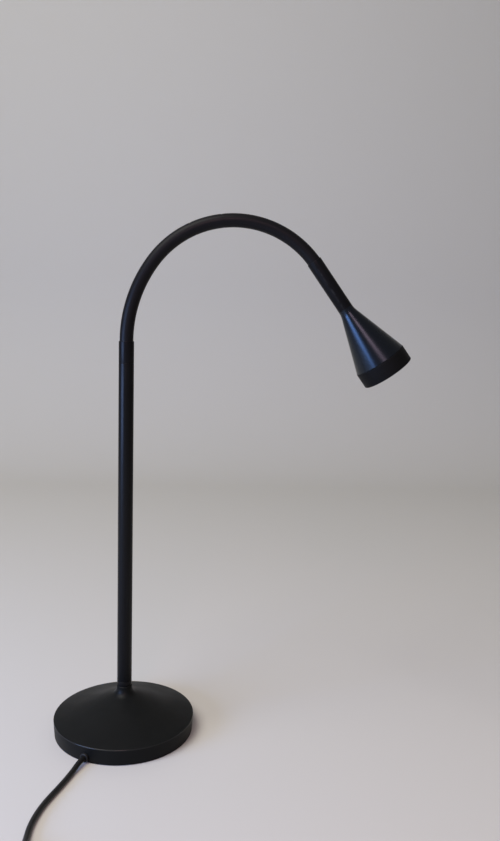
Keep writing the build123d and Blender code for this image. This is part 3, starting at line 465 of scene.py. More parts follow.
CLEAR_LENS = Finish(
    "Clear lens", (0.94, 0.95, 0.96), (0.97, 0.975, 0.98), (0.015, 0.04), 200.0,
    0.000001, transmission=1.0,
)

NODE_FINISHES: dict[str, Finish] = {
    "base_weight": CAST_IRON,
    "bottom_plate": ZINC_STEEL,
    "base_pad": PAD_RUBBER,
    "cord_clamp": DRIVER_WHITE,
    "clamp_screws": ZINC_STEEL,
    "driver_case": DRIVER_WHITE,
    "driver_lid": DRIVER_WHITE,
    "driver_board": BOARD_GREEN,
    "driver_parts": PLASTIC_BLACK,
    "mains_lead": CORD_BLACK,
    "lamp_lead": CORD_BLACK,
    "stem_nipple": ZINC_STEEL,
    "stem_nut": ZINC_STEEL,
    "stem_washer": ZINC_STEEL,
    "collar_screw": ZINC_STEEL,
    "led_board": BOARD_WHITE,
    "heat_sink": SINK_ALUMINIUM,
    "board_screws": ZINC_STEEL,
    "head_lead": CORD_BLACK,
    "switch_base": PLASTIC_BLACK,
    "switch_contacts": BRASS,
    **{f"arm_core_{k}": SPIRAL_STEEL for k in range(10)},
}


# Meshes


SAME_PLACE = 1e-7
ON_AXIS = 1e-9


def spread(start: float, end: float, steps: int) -> list[float]:
    """Numbers at even steps from a start to an end, both included."""
    return [start + (end - start) * step / steps for step in range(steps + 1)]


def rounded(corners: Sequence[Point2], radii: Sequence[float], steps: int = 6) -> list[Point2]:
    """Round the corners of an open or closed outline.

    Args:
        corners: the outline's corners in order.
        radii: radius at each corner, 0 for a sharp one.
        steps: points that each round corner gets, less one.

    Returns:
        The outline with its corners rounded.
    """
    result: list[Point2] = []
    count = len(corners)
    for i, (corner, radius) in enumerate(zip(corners, radii)):
        if radius <= 0:
            result.append(corner)
            continue
        here = Vector(corner)
        before = (Vector(corners[i - 1]) - here).normalized()
        after = (Vector(corners[(i + 1) % count]) - here).normalized()
        half = math.acos(max(-1.0, min(1.0, before.dot(after)))) / 2
        reach = radius / math.tan(half)
        start = here + before * reach
        end = here + after * reach
        middle = here + (before + after).normalized() * (radius / math.sin(half))
        first = (start - middle).normalized()
        last = (end - middle).normalized()
        sweep = math.acos(max(-1.0, min(1.0, first.dot(last))))
        for step in range(steps + 1):
            share = step / steps
            way = (first * math.sin((1 - share) * sweep) + last * math.sin(share * sweep)) / math.sin(sweep)
            point = middle + way * radius
            result.append((point.x, point.y))
    return result


def finish_mesh(
    name: str,
    points: Sequence[Vector],
    faces: Sequence[Sequence[int]],
    lay: Lay = Lay.SMOOTH,
    crease: float = 32.0,
) -> bpy.types.Object:
    """Make a linked mesh object with clean normals.

    Args:
        name: name of the piece.
        points: its vertices.
        faces: vertex numbers of each face.
        lay: smooth or faceted shading.
        crease: angle in degrees over which an edge stays sharp.

    Returns:
        The new object.
    """
    mesh = bpy.data.meshes.new(name)
    mesh.from_pydata([tuple(p) for p in points], [], [tuple(f) for f in faces])
    work = bmesh.new()
    work.from_mesh(mesh)
    bmesh.ops.remove_doubles(work, verts=work.verts, dist=SAME_PLACE)
    bmesh.ops.recalc_face_normals(work, faces=work.faces)
    work.to_mesh(mesh)
    work.free()
    if lay is Lay.SMOOTH:
        mesh.shade_smooth()
        mesh.set_sharp_from_angle(angle=math.radians(crease))
    else:
        mesh.shade_flat()
    mesh.update()
    piece = bpy.data.objects.new(name, mesh)
    bpy.context.scene.collection.objects.link(piece)
    return piece


@dataclass(frozen=True)
class TurningAxis:
    """An axis that profiles are turned about."""

    origin: Vector
    direction: Vector
    side: Vector = Vector((0.0, 1.0, 0.0))

    def place(self, radius: float, distance: float, angle: float) -> Vector:
        """Point about the axis.

        Args:
            radius: distance from the axis.
            distance: length along the axis.
            angle: angle around it in radians.

        Returns:
            The point.
        """
        other = self.direction.cross(self.side)
        around = self.side * math.cos(angle) + other * math.sin(angle)
        return self.origin + self.direction * distance + around * radius

    def turn(
        self,
        name: str,
        profile: Sequence[Point2],
        segments: int = 128,
        closed: bool = True,
        lay: Lay = Lay.SMOOTH,
    ) -> bpy.types.Object:
        """Turn a profile of radius and distance into a mesh.

        Args:
            name: name of the piece.
            profile: points as radius and distance.
            segments: number of steps around.
            closed: whether the last point joins the first.
            lay: smooth or faceted shading.

        Returns:
            The turned piece.
        """
        points: list[Vector] = []
        for radius, distance in profile:
            for step in range(segments):
                points.append(self.place(radius, distance, 2 * math.pi * step / segments))
        faces: list[tuple[int, ...]] = []
        rows = len(profile)
        for row in range(rows if closed else rows - 1):
            following = (row + 1) % rows
            if max(profile[row][0], profile[following][0]) < ON_AXIS:
                continue
            for step in range(segments):
                beside = (step + 1) % segments
                a, b = row * segments + step, row * segments + beside
                c, d = following * segments + beside, following * segments + step
                if profile[row][0] < ON_AXIS:
                    faces.append((a, c, d))
                elif profile[following][0] < ON_AXIS:
                    faces.append((a, b, d))
                else:
                    faces.append((a, b, c, d))
        return finish_mesh(name, points, faces, lay)


UPRIGHT = TurningAxis(Vector((0.0, 0.0, 0.0)), Vector((0.0, 0.0, 1.0)))


@dataclass(frozen=True)
class Seat:
    """A place with three square directions, in which a piece is laid out."""

    origin: Vector
    ahead: Vector
    above: Vector = Vector((0.0, 0.0, 1.0))

    def at(self, x: float, y: float, z: float) -> Vector:
        """Point from its lengths ahead, to the left and above."""
        return self.origin + self.ahead * x + self.above.cross(self.ahead) * y + self.above * z


def rounded_rectangle(half_x: float, half_y: float, radius: float, steps: int = 6) -> list[Point2]:
    """Outline of a rectangle with round corners."""
    corners = [(half_x, half_y), (-half_x, half_y), (-half_x, -half_y), (half_x, -half_y)]
    return rounded(corners, [radius] * 4, steps)


def ring_outline(radius: float, sides: int, count: int) -> list[Point2]:
    """Outline of a circle, or of a regular polygon where sides is over 2.

    Args:
        radius: radius of the circle, or half the polygon's width across flats.
        sides: number of sides, 0 for a circle.
        count: number of points.

    Returns:
        The outline's points.
    """
    result: list[Point2] = []
    for step in range(count):
        angle = 2 * math.pi * step / count
        reach = radius
        if sides > 2:
            sector = 2 * math.pi / sides
            reach = radius / math.cos((angle % sector) - sector / 2)
        result.append((reach * math.cos(angle), reach * math.sin(angle)))
    return result


def inset(outline: Sequence[Point2], amount: float) -> list[Point2]:
    """Move an outline inwards by an amount.

    Args:
        outline: points of a closed outline.
        amount: distance of the move.

    Returns:
        The moved outline.
    """
    count = len(outline)
    area = sum(outline[i - 1][0] * outline[i][1] - outline[i][0] * outline[i - 1][1] for i in range(count))
    turn = 1.0 if area > 0 else -1.0
    result: list[Point2] = []
    for i, point in enumerate(outline):
        here = Vector(point)
        before = (here - Vector(outline[i - 1])).normalized()
        after = (Vector(outline[(i + 1) % count]) - here).normalized()
        inward = Vector((-(before.y + after.y), before.x + after.x)).normalized() * turn
        share = max(0.35, inward.dot(Vector((-after.y, after.x)) * turn))
        moved = here + inward * (amount / share)
        result.append((moved.x, moved.y))
    return result


def loft(
    name: str, rings: Sequence[Sequence[Vector]], closed: bool = False, crease: float = 32.0
) -> bpy.types.Object:
    """Join rings with the same number of points into a mesh.

    Args:
        name: name of the piece.
        rings: the rings in order.
        closed: whether the last ring joins the first; otherwise both ends get a cap.
        crease: angle in degrees over which an edge stays sharp.

    Returns:
        The lofted piece.
    """
    count = len(rings[0])
    points = [point for ring in rings for point in ring]
    faces: list[tuple[int, ...]] = []
    for row in range(len(rings) if closed else len(rings) - 1):
        first = row * count
        second = (row + 1) % len(rings) * count
        for step in range(count):
            beside = (step + 1) % count
            faces.append((first + step, first + beside, second + beside, second + step))
    if not closed:
        for first in (0, (len(rings) - 1) * count):
            middle = len(points)
            total = Vector((0.0, 0.0, 0.0))
            for step in range(count):
                total += points[first + step]
            points.append(total / count)
            for step in range(count):
                faces.append((first + step, first + (step + 1) % count, middle))
    return finish_mesh(name, points, faces, crease=crease)


def edge_steps(radius: float, steps: int = 5) -> list[Point2]:
    """Points on a quarter-round edge, from the side to the top.

    Args:
        radius: radius of the edge.
        steps: number of points, less one.

    Returns:
        How far each point lies in from the side and down from the top.
    """
    result: list[Point2] = []
    for step in range(steps + 1):
        angle = math.pi / 2 * step / steps
        result.append((radius * (1 - math.cos(angle)), radius * (1 - math.sin(angle))))
    return result


def joined(name: str, parts: Sequence[bpy.types.Object]) -> bpy.types.Object:
    """Merge several new pieces into one object.

    Args:
        name: name of the merged piece.
        parts: pieces to merge; they are removed.

    Returns:
        The merged piece.
    """
    work = bmesh.new()
    for part in parts:
        work.from_mesh(part.data)
    mesh = bpy.data.meshes.new(name)
    work.to_mesh(mesh)
    work.free()
    for part in parts:
        bpy.data.objects.remove(part)
    piece = bpy.data.objects.new(name, mesh)
    bpy.context.scene.collection.objects.link(piece)
    return piece


@dataclass(frozen=True)
class SocketScrew:
    """A screw with a hexagon socket."""

    head_radius: float
    head_height: float
    shank_radius: float
    shank_length: float
    countersunk: bool
    socket_share: float = 0.45
    depth_share: float = 0.6
    edge_share: float = 0.05
    count: int = 36

    def build(self, name: str, seat: Seat) -> bpy.types.Object:
        """Make the screw, its head's face at the seat and its shank above it.

        Args:
            name: name of the piece.
            seat: middle of the head's face; above is the shank's direction.

        Returns:
            The screw.
        """
        socket = self.head_radius * self.socket_share
        break_edge = self.head_radius * self.edge_share
        base = self.shank_radius if self.countersunk else self.head_radius
        stations = [
            (socket, 6, self.head_height * self.depth_share),
            (socket, 6, 0.0),
            (self.head_radius - break_edge, 0, 0.0),
            (self.head_radius, 0, break_edge),
            (base, 0, self.head_height),
            (self.shank_radius, 0, self.head_height + (0.0 if self.countersunk else 0.00001)),
            (self.shank_radius, 0, self.head_height + self.shank_length),
        ]
        rings: list[list[Vector]] = []
        for radius, sides, height in stations:
            rings.append([seat.at(x, y, height) for x, y in ring_outline(radius, sides, self.count)])
        return loft(name, rings)


# A rib's outline: share of the pitch between ribs and share of the rib's height
RIB_SHAPE: tuple[Point2, ...] = ((0.0, 0.4), (0.08, 0.85), (0.2, 1.0), (0.4, 1.0), (0.52, 0.85), (0.6, 0.0))


@dataclass(frozen=True)
class RibbedRelief:
    """A tapered strain relief with ribs round it."""

    start_radius: float
    end_radius: float
    length: float
    bore: float
    ribs: int = 7
    rib_depth: float = 0.0005
    edge: float = 0.0003

    def profile(self) -> list[Point2]:
        """Profile of the ribbed outside and the bore.

        Returns:
            Closed profile of radius and distance, from the thick end.
        """
        result: list[Point2] = [(self.bore, 0.0)]
        pitch = self.length / (self.ribs + 0.5)
        for rib in range(self.ribs):
            begin = rib * pitch
            for share, raised in RIB_SHAPE:
                distance = begin + share * pitch
                taper = self.start_radius + (self.end_radius - self.start_radius) * distance / self.length
                result.append((taper - self.rib_depth * (1 - raised), distance))
            end = begin + 0.98 * pitch
            taper = self.start_radius + (self.end_radius - self.start_radius) * end / self.length
            result.append((taper - self.rib_depth, end))
        result.append((self.end_radius, self.length - 0.3 * pitch))
        result.append((self.end_radius, self.length - self.edge))
        result.append((self.end_radius - self.edge, self.length))
        result.append((self.bore, self.length))
        return result

    def build(self, name: str, origin: Vector, direction: Vector) -> bpy.types.Object:
        """Make the relief from its thick end."""
        return TurningAxis(origin, direction, Vector((0.0, 0.0, 1.0))).turn(name, self.profile(), 48)


# View and studio


@dataclass
class PhotographView:
    """Camera at the photograph's viewpoint."""

    place: Vector = field(default_factory=lambda: Vector((0.0775, -0.723746, 0.402431)))
    forward: Vector = field(default_factory=lambda: Vector((0.05188, 0.98997, -0.13141)))
    upward: Vector = field(default_factory=lambda: Vector((-0.02015, 0.1326, 0.99097)))
    lens: float = 33.389

    def build(self) -> None:
        """Make the camera and give it to the scene."""
        data = bpy.data.cameras.new("Photograph view")
        data.lens = self.lens
        data.sensor_width = 36.0
        data.sensor_fit = "AUTO"
        data.clip_start = 0.01
        camera = bpy.data.objects.new("Photograph view", data)
        ahead = self.forward.normalized()
        right = ahead.cross(self.upward).normalized()
        above = right.cross(ahead)
        turn = Matrix((right, above, -ahead)).transposed().to_4x4()
        camera.matrix_world = Matrix.Translation(self.place) @ turn
        bpy.context.scene.collection.objects.link(camera)
        bpy.context.scene.camera = camera


@dataclass
class Studio:
    """Pale floor and backdrop with soft light."""

    floor_tone: float = 0.58
    reach: float = 3.0
    side: float = 7.0
    back: float = 1.1
    bend: float = 0.5
    bend_steps: int = 12
    wall_height: float = 3.0
    sky_strength: float = 0.22

    def pale(self) -> bpy.types.Material:
        """Make the floor's plain pale material.

        Returns:
            The material.
        """
        material = bpy.data.materials.new("Pale floor")
        material.use_nodes = True
        wiring = Wiring(material.node_tree)
        shader = material.node_tree.nodes["Principled BSDF"].inputs
        tone = self.floor_tone
        clouds = {
            "Factor": wiring.add("TexNoise", {"Scale": 3.0}).outputs["Fac"],
            "A": (tone, tone * 0.99, tone * 0.93, 1.0),
            "B": (tone * 0.98, tone * 0.965, tone * 0.93, 1.0),
        }
        wiring.feed(shader["Base Color"], wiring.add("Mix", clouds, data_type="RGBA").outputs["Result"])
        wiring.feed(shader["Roughness"], 0.75)
        wiring.feed(shader["Specular IOR Level"], 0.2)
        return material

    def build(self) -> None:
        """Make the floor that curves up into a backdrop, the lights and the world."""
        run: list[Point2] = [(-self.reach, 0.0), (self.back, 0.0)]
        for step in range(1, self.bend_steps + 1):
            angle = math.pi / 2 * step / self.bend_steps
            run.append((self.back + self.bend * math.sin(angle), self.bend * (1 - math.cos(angle))))
        run.append((self.back + self.bend, self.wall_height))
        points: list[Vector] = []
        for y, z in run:
            points.append(Vector((-self.side, y, z)))
            points.append(Vector((self.side, y, z)))
        faces = [(2 * i, 2 * i + 1, 2 * i + 3, 2 * i + 2) for i in range(len(run) - 1)]
        floor = finish_mesh("studio_floor", points, faces, crease=60.0)
        floor.data.materials.append(self.pale())
        world = bpy.data.worlds.new("Soft room")
        bpy.context.scene.world = world
        world.use_nodes = True
        sky = world.node_tree.nodes["Background"]
        sky.inputs["Color"].default_value = (0.98, 0.98, 1.0, 1.0)
        sky.inputs["Strength"].default_value = self.sky_strength
        self.softbox("Window", (-0.98, -0.72, 0.38), (0.15, 0.0, 0.38), (0.7, 0.45), 16.0, (0.32, 0.5, 1.0))
        self.softbox("Rosy wall", (0.02, -1.25, 1.02), (0.2, 0.0, 0.38), (0.4, 0.4), 4.6, (1.0, 0.59, 0.63))
        self.softbox("Overhead", (-1.1, -0.9, 2.4), (0.1, 0.0, 0.1), (1.7, 1.7), 58.0, (1.0, 0.96, 0.88))

    def softbox(
        self, name: str, place: Point3, target: Point3, size: Point2, power: float, colour: Point3
    ) -> None:
        """Add an area light that looks at a point.

        Args:
            name: name of the light.
            place: where it stands.
            target: where it looks.
            size: width and height.
            power: watts.
            colour: its colour.
        """
        data = bpy.data.lights.new(name, "AREA")
        data.shape = "RECTANGLE"
        data.size, data.size_y = size
        data.energy = power
        data.color = colour
        light = bpy.data.objects.new(name, data)
        light.location = place
        aim = Vector(target) - Vector(place)
        light.rotation_euler = aim.to_track_quat("-Z", "Y").to_euler()
        bpy.context.scene.collection.objects.link(light)


# Cord


@dataclass
class MainsCord:
    """The mains cord from the bushing through the in-line switch to the coil and the plug."""

    shop: Workshop
    diameter: float = 0.0048
    rest: float = 0.0025
    exit_azimuth: float = -115.5
    exit_reach: float = 0.06895
    exit_run: float = 0.006
    exit_height: float = 0.005
    switch_start: Point3 = (-0.0526, -0.193, 0.0065)
    switch_azimuth: float = -79.0
    switch_length: float = 0.09
    switch_entry_run: float = 0.0105
    switch_leave_run: float = 0.012
    coil_centre: Point2 = (0.035, -0.282)
    coil_inner: float = 0.0195
    coil_turns: float = 3.5
    coil_step: float = 0.0053
    points_per_turn: int = 16
    tail: float = 0.015
    length: float = 1.602
    clearance: float = 0.00005

    def bore(self) -> float:
        """Radius of a hole that the cord passes through."""
        return self.diameter / 2 + self.clearance

    def exit_way(self) -> Vector:
        """Level direction in which the cord leaves the base."""
        angle = math.radians(self.exit_azimuth)
        return Vector((math.cos(angle), math.sin(angle), 0.0))

    def exit_point(self) -> Vector:
        """Point where the cord leaves the bushing."""
        return self.exit_way() * self.exit_reach + Vector((0.0, 0.0, self.exit_height))

    def switch_way(self) -> Vector:
        """Level direction in which the cord runs through the switch."""
        angle = math.radians(self.switch_azimuth)
        return Vector((math.cos(angle), math.sin(angle), 0.0))

    def coil_bottom(self, height: float) -> Vector:
        """Point where the coil's outermost turn is nearest to the viewer, at a height."""
        x, y = self.coil_centre
        return Vector((x, y - self.coil_inner - self.coil_turns * self.coil_step, height))

    def coil_point(self, angle: float) -> Vector:
        """Control point of the coil, set out so that the smooth line has the tube's radius.

        Args:
            angle: turned angle in radians from the coil's start.

        Returns:
            The control point.
        """
        middle = 2 * math.pi * self.coil_turns
        radius = self.coil_inner + self.coil_step * abs(angle - middle) / (2 * math.pi)
        radius /= (1 + math.cos(2 * math.pi / self.points_per_turn)) / 2
        share = min(1.0, max(0.0, (angle - middle) / math.pi + 0.5))
        rise = self.coil_step * share * share * (3 - 2 * share)
        x, y = self.coil_centre
        return Vector((x + radius * math.sin(angle), y - radius * math.cos(angle), self.rest + rise))

    def route(self) -> list[Vector]:
        """Lay out the whole cord.

        Returns:
            Listed points of the free stretches, and the coil's turns from their formula.
        """
        leave = self.exit_point()
        way = self.switch_way()
        enter = Vector(self.switch_start)
        after = enter + way * self.switch_length
        foot = Vector((leave.x, leave.y, self.rest))
        before = Vector((enter.x, enter.y, self.rest))
        bottom = self.coil_bottom(self.rest)
        points = [
            leave,
            leave + self.exit_way() * self.exit_run,
            foot + Vector((-0.007, -0.0179, 0.0)),
            foot + Vector((-0.013, -0.0369, 0.0)),
            foot + Vector((-0.0229, -0.0638, 0.0)),
            foot + Vector((-0.0271, -0.0881, 0.0)),
            before + Vector((-0.0033, 0.0225, 0.0)),
            enter - way * self.switch_entry_run,
            enter,
            enter + way * self.switch_length / 2,
            after,
            after + way * self.switch_leave_run,
            bottom + Vector((-0.0603, 0.0138, 0.0)),
            bottom + Vector((-0.0484, 0.004, 0.0)),
            bottom + Vector((-0.034, -0.0012, 0.0)),
            bottom + Vector((-0.0185, 0.0, 0.0)),
            bottom - Vector((0.0048, 0.0, 0.0)),
        ]
        count = round(2 * self.coil_turns * self.points_per_turn)
        for step in range(count):
            points.append(self.coil_point(2 * math.pi * (step + 0.5) / self.points_per_turn))
        top = bottom + Vector((0.0, 0.0, self.coil_step))
        points.append(top + Vector((0.004, 0.0, 0.0)))
        points.append(top + Vector((self.tail, 0.0, 0.0)))
        return points

    def build(self) -> None:
        data = bpy.data.curves.new("mains_cord", "CURVE")
        data.dimensions = "3D"
        data.bevel_depth = self.diameter / 2
        data.bevel_resolution = 8
        data.resolution_u = 8
        data.use_fill_caps = True
        spline = data.splines.new("NURBS")
        points = self.route()
        spline.points.add(len(points) - 1)
        for point, place in zip(spline.points, points):
            point.co = (*place, 1.0)
        spline.order_u = 3
        spline.use_endpoint_u = True
        cord = bpy.data.objects.new("mains_cord", data)
        bpy.context.scene.collection.objects.link(cord)
        self.shop.mount(cord, CORD_BLACK, "cord_black", "base", "cord_to_switch", "cord_to_coil", "cord_coil")


# Base and stem


@dataclass
class WeightedBase:
    """The low conical cover over the weight, driver and plate."""

    shop: Workshop
    foot_radius: float = 0.0663
    rim_radius: float = 0.0673
    rim_z: float = 0.0154
    foot_z: float = 0.0005
    wall: float = 0.0021
    sag: float = 0.0007
    flare_radius: float = 0.0132
    flare_z: float = 0.0352
    flare_slope: float = 0.4
    neck_radius: float = 0.0073
    neck_top: float = 0.045
    neck_straight: float = 0.0015
    bore: float = 0.0051
    boss_radius: float = 0.011
    boss_z: float = 0.028
    foot_edge: float = 0.0002
    rim_edge: float = 0.0009
    rim_shoulder: float = 0.004
    neck_edge: float = 0.0003
    steps: int = 14

    def cone_height(self, radius: float) -> float:
        """Height of the cover's slope.

        Args:
            radius: distance from the stem's axis.

        Returns:
            The slope's height over the table.
        """
        share = (self.rim_radius - radius) / (self.rim_radius - self.flare_radius)
        chord = self.rim_z + (self.flare_z - self.rim_z) * share
        return chord - 4 * self.sag * share * (1 - share)

    def outline(self) -> list[Point2]:
        """Profile of the cover.

        Returns:
            Points of radius and height, from the foot over the rim and the neck and back inside.
        """
        cone_start = self.rim_radius - self.rim_shoulder
        run: list[Point2] = [
            (self.foot_radius - self.wall, self.foot_z),
            (self.foot_radius, self.foot_z),
            (self.rim_radius, self.rim_z),
            (cone_start, self.cone_height(cone_start)),
        ]
        skirt = rounded(run, [0.0, self.foot_edge, self.rim_edge, 0.0], 7)
        slope: list[Point2] = []
        for step in range(1, self.steps + 1):
            radius = cone_start - (cone_start - self.flare_radius) * step / self.steps
            slope.append((radius, self.cone_height(radius)))
        start = Vector((self.flare_radius, self.flare_z))
        turn_z = self.flare_z + (self.flare_radius - self.neck_radius) * self.flare_slope
        turn = Vector((self.neck_radius, turn_z))
        end = Vector((self.neck_radius, self.neck_top - self.neck_straight))
        flare: list[Point2] = []
        for step in range(1, self.steps + 1):
            t = step / self.steps
            point = start * (1 - t) ** 2 + turn * (2 * t * (1 - t)) + end * t**2
            flare.append((point.x, point.y))
        top = [
            (self.neck_radius, self.neck_top - self.neck_edge),
            (self.neck_radius - self.neck_edge, self.neck_top),
            (self.bore, self.neck_top),
            (self.bore, self.boss_z),
            (self.boss_radius, self.boss_z),
            (self.boss_radius, self.flare_z - self.wall),
            (self.flare_radius, self.flare_z - self.wall),
            (self.foot_radius - self.wall, self.rim_z - self.wall),
        ]
        return skirt + slope + flare + top

    def build(self) -> None:
        """Make the cover and let it stand for its node."""
        cover = UPRIGHT.turn("base_shell", self.outline(), 160)
        self.shop.mount(cover, COVER_BLACK, "cover_black", "base", "base_cover")


@dataclass
class UprightStem:
    """The stem's tube, the ring at its foot and the collar at its top."""

    shop: Workshop
    radius: float = 0.007
    bore: float = 0.0051
    foot: float = 0.05
    top: float = 0.3574
    ring_foot: float = 0.045
    edge: float = 0.0004
    pipe_edge: float = 0.00025
    segments: int = 96
    collar_top: float = 0.3775
    collar_bore: float = 0.0048
    spigot_foot: float = 0.3454
    spigot_room: float = 0.0001
    socket_floor: float = 0.3595
    lead_bore: float = 0.0026

    def tube_outline(self, low: float, high: float, edge: float) -> list[Point2]:
        """Profile of a plain tube with broken outer edges, between two heights."""
        corners = [(self.bore, low), (self.radius, low), (self.radius, high), (self.bore, high)]
        return rounded(corners, [0.0, edge, edge, 0.0], 5)

    def build(self) -> None:
        """Make the three turned pieces."""
        pipe = self.tube_outline(self.foot, self.top, self.pipe_edge)
        ring = self.tube_outline(self.ring_foot, self.foot, self.edge)
        collar = rounded(
            [
                (self.lead_bore, self.spigot_foot),
                (self.bore - self.spigot_room, self.spigot_foot),
                (self.bore - self.spigot_room, self.top),
                (self.radius, self.top),
                (self.radius, self.collar_top),
                (self.collar_bore, self.collar_top),
                (self.collar_bore, self.socket_floor),
                (self.lead_bore, self.socket_floor),
            ],
            [0.0, 0.0, 0.0, self.edge, self.edge, 0.0, 0.0, 0.0],
            5,
        )
        for name, outline, finish, slot, node in (
            ("stem_pipe", pipe, STEM_BLACK, "stem_black", "stem_tube"),
            ("foot_ring", ring, STEM_BLACK, "stem_black", "stem_ring"),
            ("top_collar", collar, COLLAR_BLACK, "collar_black", "stem_collar"),
        ):
            self.shop.mount(UPRIGHT.turn(name, outline, self.segments), finish, slot, "base", node)


# Arm


# A wall's outer and inner radius at a length along the arm and an angle round it
Wall = Callable[[float, float], tuple[float, float]]


@dataclass
class BendableArm:
    """The smooth sleeve over the arm's spiral core, one length over each bend.

    Most lengths are one piece each, left in place and fastened to neither of the two bodies that they join.
    The two at the top of the arch are
    halves that turn about their bend: the lower half ends in a ball, the upper half in a cup over it, and the
    lower half is let in where the edge of the cup comes down.
    """

    shop: Workshop
    length: float = 0.2516
    radius_1: float = 0.125
    turn_1: float = 36.0
    radius_2: float = 0.092
    bends: int = 9
    foot: float = 0.3775
    sleeve_radius: float = 0.0063
    sleeve_bore: float = 0.00485
    rings: int = 14
    segments: int = 48
    halved: tuple[int, ...] = (5, 6)
    ball_radius: float = 0.00624
    cup_radius: float = 0.00627
    cup_edge: float = 0.0004
    ball_reach: float = 0.002
    ball_rim_wall: float = 0.0003
    bore_flare: float = 0.0008
    let_in_room: float = 0.0003
    let_in_ramp: float = 0.00025
    close_rings: float = 0.0024
    cup_depth: float = 0.0042
    lower_steps: tuple[int, int] = (6, 22)
    upper_steps: tuple[int, int] = (14, 5)
    lift: float = 17.41
    droop: float = 7.23

    def heading(self, s: float) -> float:
        """Heading of the arm's centreline.

        Args:
            s: length along the arm.

        Returns:
            The heading in radians from straight up.
        """
        first = self.radius_1 * math.radians(self.turn_1)
        if s <= first:
            return s / self.radius_1
        return math.radians(self.turn_1) + (s - first) / self.radius_2

    def direction(self, s: float) -> Vector:
        """Direction of the arm's centreline at a length along it."""
        turn = self.heading(s)
        return Vector((math.sin(turn), 0.0, math.cos(turn)))

    def point(self, s: float) -> Vector:
        """Point on the arm's centreline.

        Args:
            s: length along the arm.

        Returns:
            The point.
        """
        first = self.radius_1 * math.radians(self.turn_1)
        near = min(s, first) / self.radius_1
        x = self.radius_1 * (1 - math.cos(near))
        z = self.foot + self.radius_1 * math.sin(near)
        if s > first:
            a, b = math.radians(self.turn_1), self.heading(s)
            x += self.radius_2 * (math.cos(a) - math.cos(b))
            z += self.radius_2 * (math.sin(b) - math.sin(a))
        return Vector((x, 0.0, z))

    def tube(self, name: str, stations: Sequence[float], wall: Wall) -> bpy.types.Object:
        """Make a hollow tube along the arm.

        Args:
            name: name of the piece.
            stations: lengths along the arm, in order.
            wall: outer and inner radius at a length along the arm and an angle round it.

        Returns:
            The tube, open at both ends and with a closed wall.
        """
        points: list[Vector] = []
        faces: list[tuple[int, ...]] = []
        for s in stations:
            centre, along = self.point(s), self.direction(s)
            side = Vector((0.0, 1.0, 0.0))
            other = along.cross(side)
            for skin in (0, 1):
                for step in range(self.segments):
                    angle = 2 * math.pi * step / self.segments
                    away = side * math.cos(angle) + other * math.sin(angle)
                    points.append(centre + away * wall(s, angle)[skin])
        row = 2 * self.segments
        last = len(stations) - 1
        for ring in range(last):
            for step in range(self.segments):
                beside = (step + 1) % self.segments
                for shift in (0, self.segments):
                    a = ring * row + shift + step
                    b = ring * row + shift + beside
                    faces.append((a, b, b + row, a + row))
        for base in (0, last * row):
            for step in range(self.segments):
                beside = (step + 1) % self.segments
                inner = base + self.segments
                faces.append((base + step, base + beside, inner + beside, inner + step))
        return finish_mesh(name, points, faces, crease=50.0)

    def plain_wall(self, s: float, angle: float) -> tuple[float, float]:
        """Outer and inner radius of the plain sleeve, the same everywhere."""
        return (self.sleeve_radius, self.sleeve_bore)

    def ball_wall(self, middle: float) -> Wall:
        """Wall of a lower half, which ends in a ball about its bend.

        Args:
            middle: length along the arm of the bend.

        Returns:
            A function that gives the outer and inner radius.
        """

        def wall(s: float, angle: float) -> tuple[float, float]:
            """Radii of the half that ends in a ball.

            Args:
                s: length along the arm.
                angle: angle round it.

            Returns:
                Outer and inner radius.
            """
            height = s - middle
            ball = math.sqrt(self.ball_radius**2 - min(abs(height), self.ball_radius) ** 2)
            turn = self.lift if math.sin(angle) > 0 else self.droop
            swept = self.sleeve_radius * abs(math.sin(angle)) * math.sin(math.radians(turn))
            share = min(1.0, max(0.0, (swept + height + self.let_in_room) / self.let_in_ramp))
            outer = self.sleeve_radius + (ball - self.sleeve_radius) * share
            opening = max(0.0, height + self.bore_flare) / (self.ball_reach + self.bore_flare)
            rim = math.sqrt(self.ball_radius**2 - self.ball_reach**2) - self.ball_rim_wall
            return (outer, self.sleeve_bore + (rim - self.sleeve_bore) * opening)

        return wall

    def cup_wall(self, middle: float) -> Wall:
        """Wall of an upper half, which ends in a cup about its bend.

        Args:
            middle: length along the arm of the bend.

        Returns:
            A function that gives the outer and inner radius.
        """

        def wall(s: float, angle: float) -> tuple[float, float]:
            """Radii of the half that ends in a cup.

            Args:
                s: length along the arm.
                angle: angle round it, which changes nothing here.

            Returns:
                Outer and inner radius.
            """
            height = min(s - middle, self.cup_radius)
            hollow = math.sqrt(self.cup_radius**2 - height**2)
            return (self.sleeve_radius, max(self.sleeve_bore, hollow))

        return wall

    def halves(self, index: int, below: str, above: str) -> None:
        """Make the two halves of a length, each riding on its own body.

        Args:
            index: number of the bend, from 1.
            below: body under the bend.
            above: body over the bend.
        """
        pitch = self.length / self.bends
        low, middle, high = (index - 1) * pitch, (index - 0.5) * pitch, index * pitch
        near, rim = middle - self.close_rings, middle + self.ball_reach
        edge, deep = middle + self.cup_edge, middle + self.cup_depth
        lower = spread(low, near, self.lower_steps[0])[:-1] + spread(near, rim, self.lower_steps[1])
        upper = spread(edge, deep, self.upper_steps[0]) + spread(deep, high, self.upper_steps[1])[1:]
        ball = self.tube(f"sleeve_length_{index}_lower", lower, self.ball_wall(middle))
        cup = self.tube(f"sleeve_length_{index}_upper", upper, self.cup_wall(middle))
        for piece, body in ((ball, below), (cup, above)):
            self.shop.mount(piece, SLEEVE_BLACK, "sleeve_black", body, f"arm_sleeve_{index}")

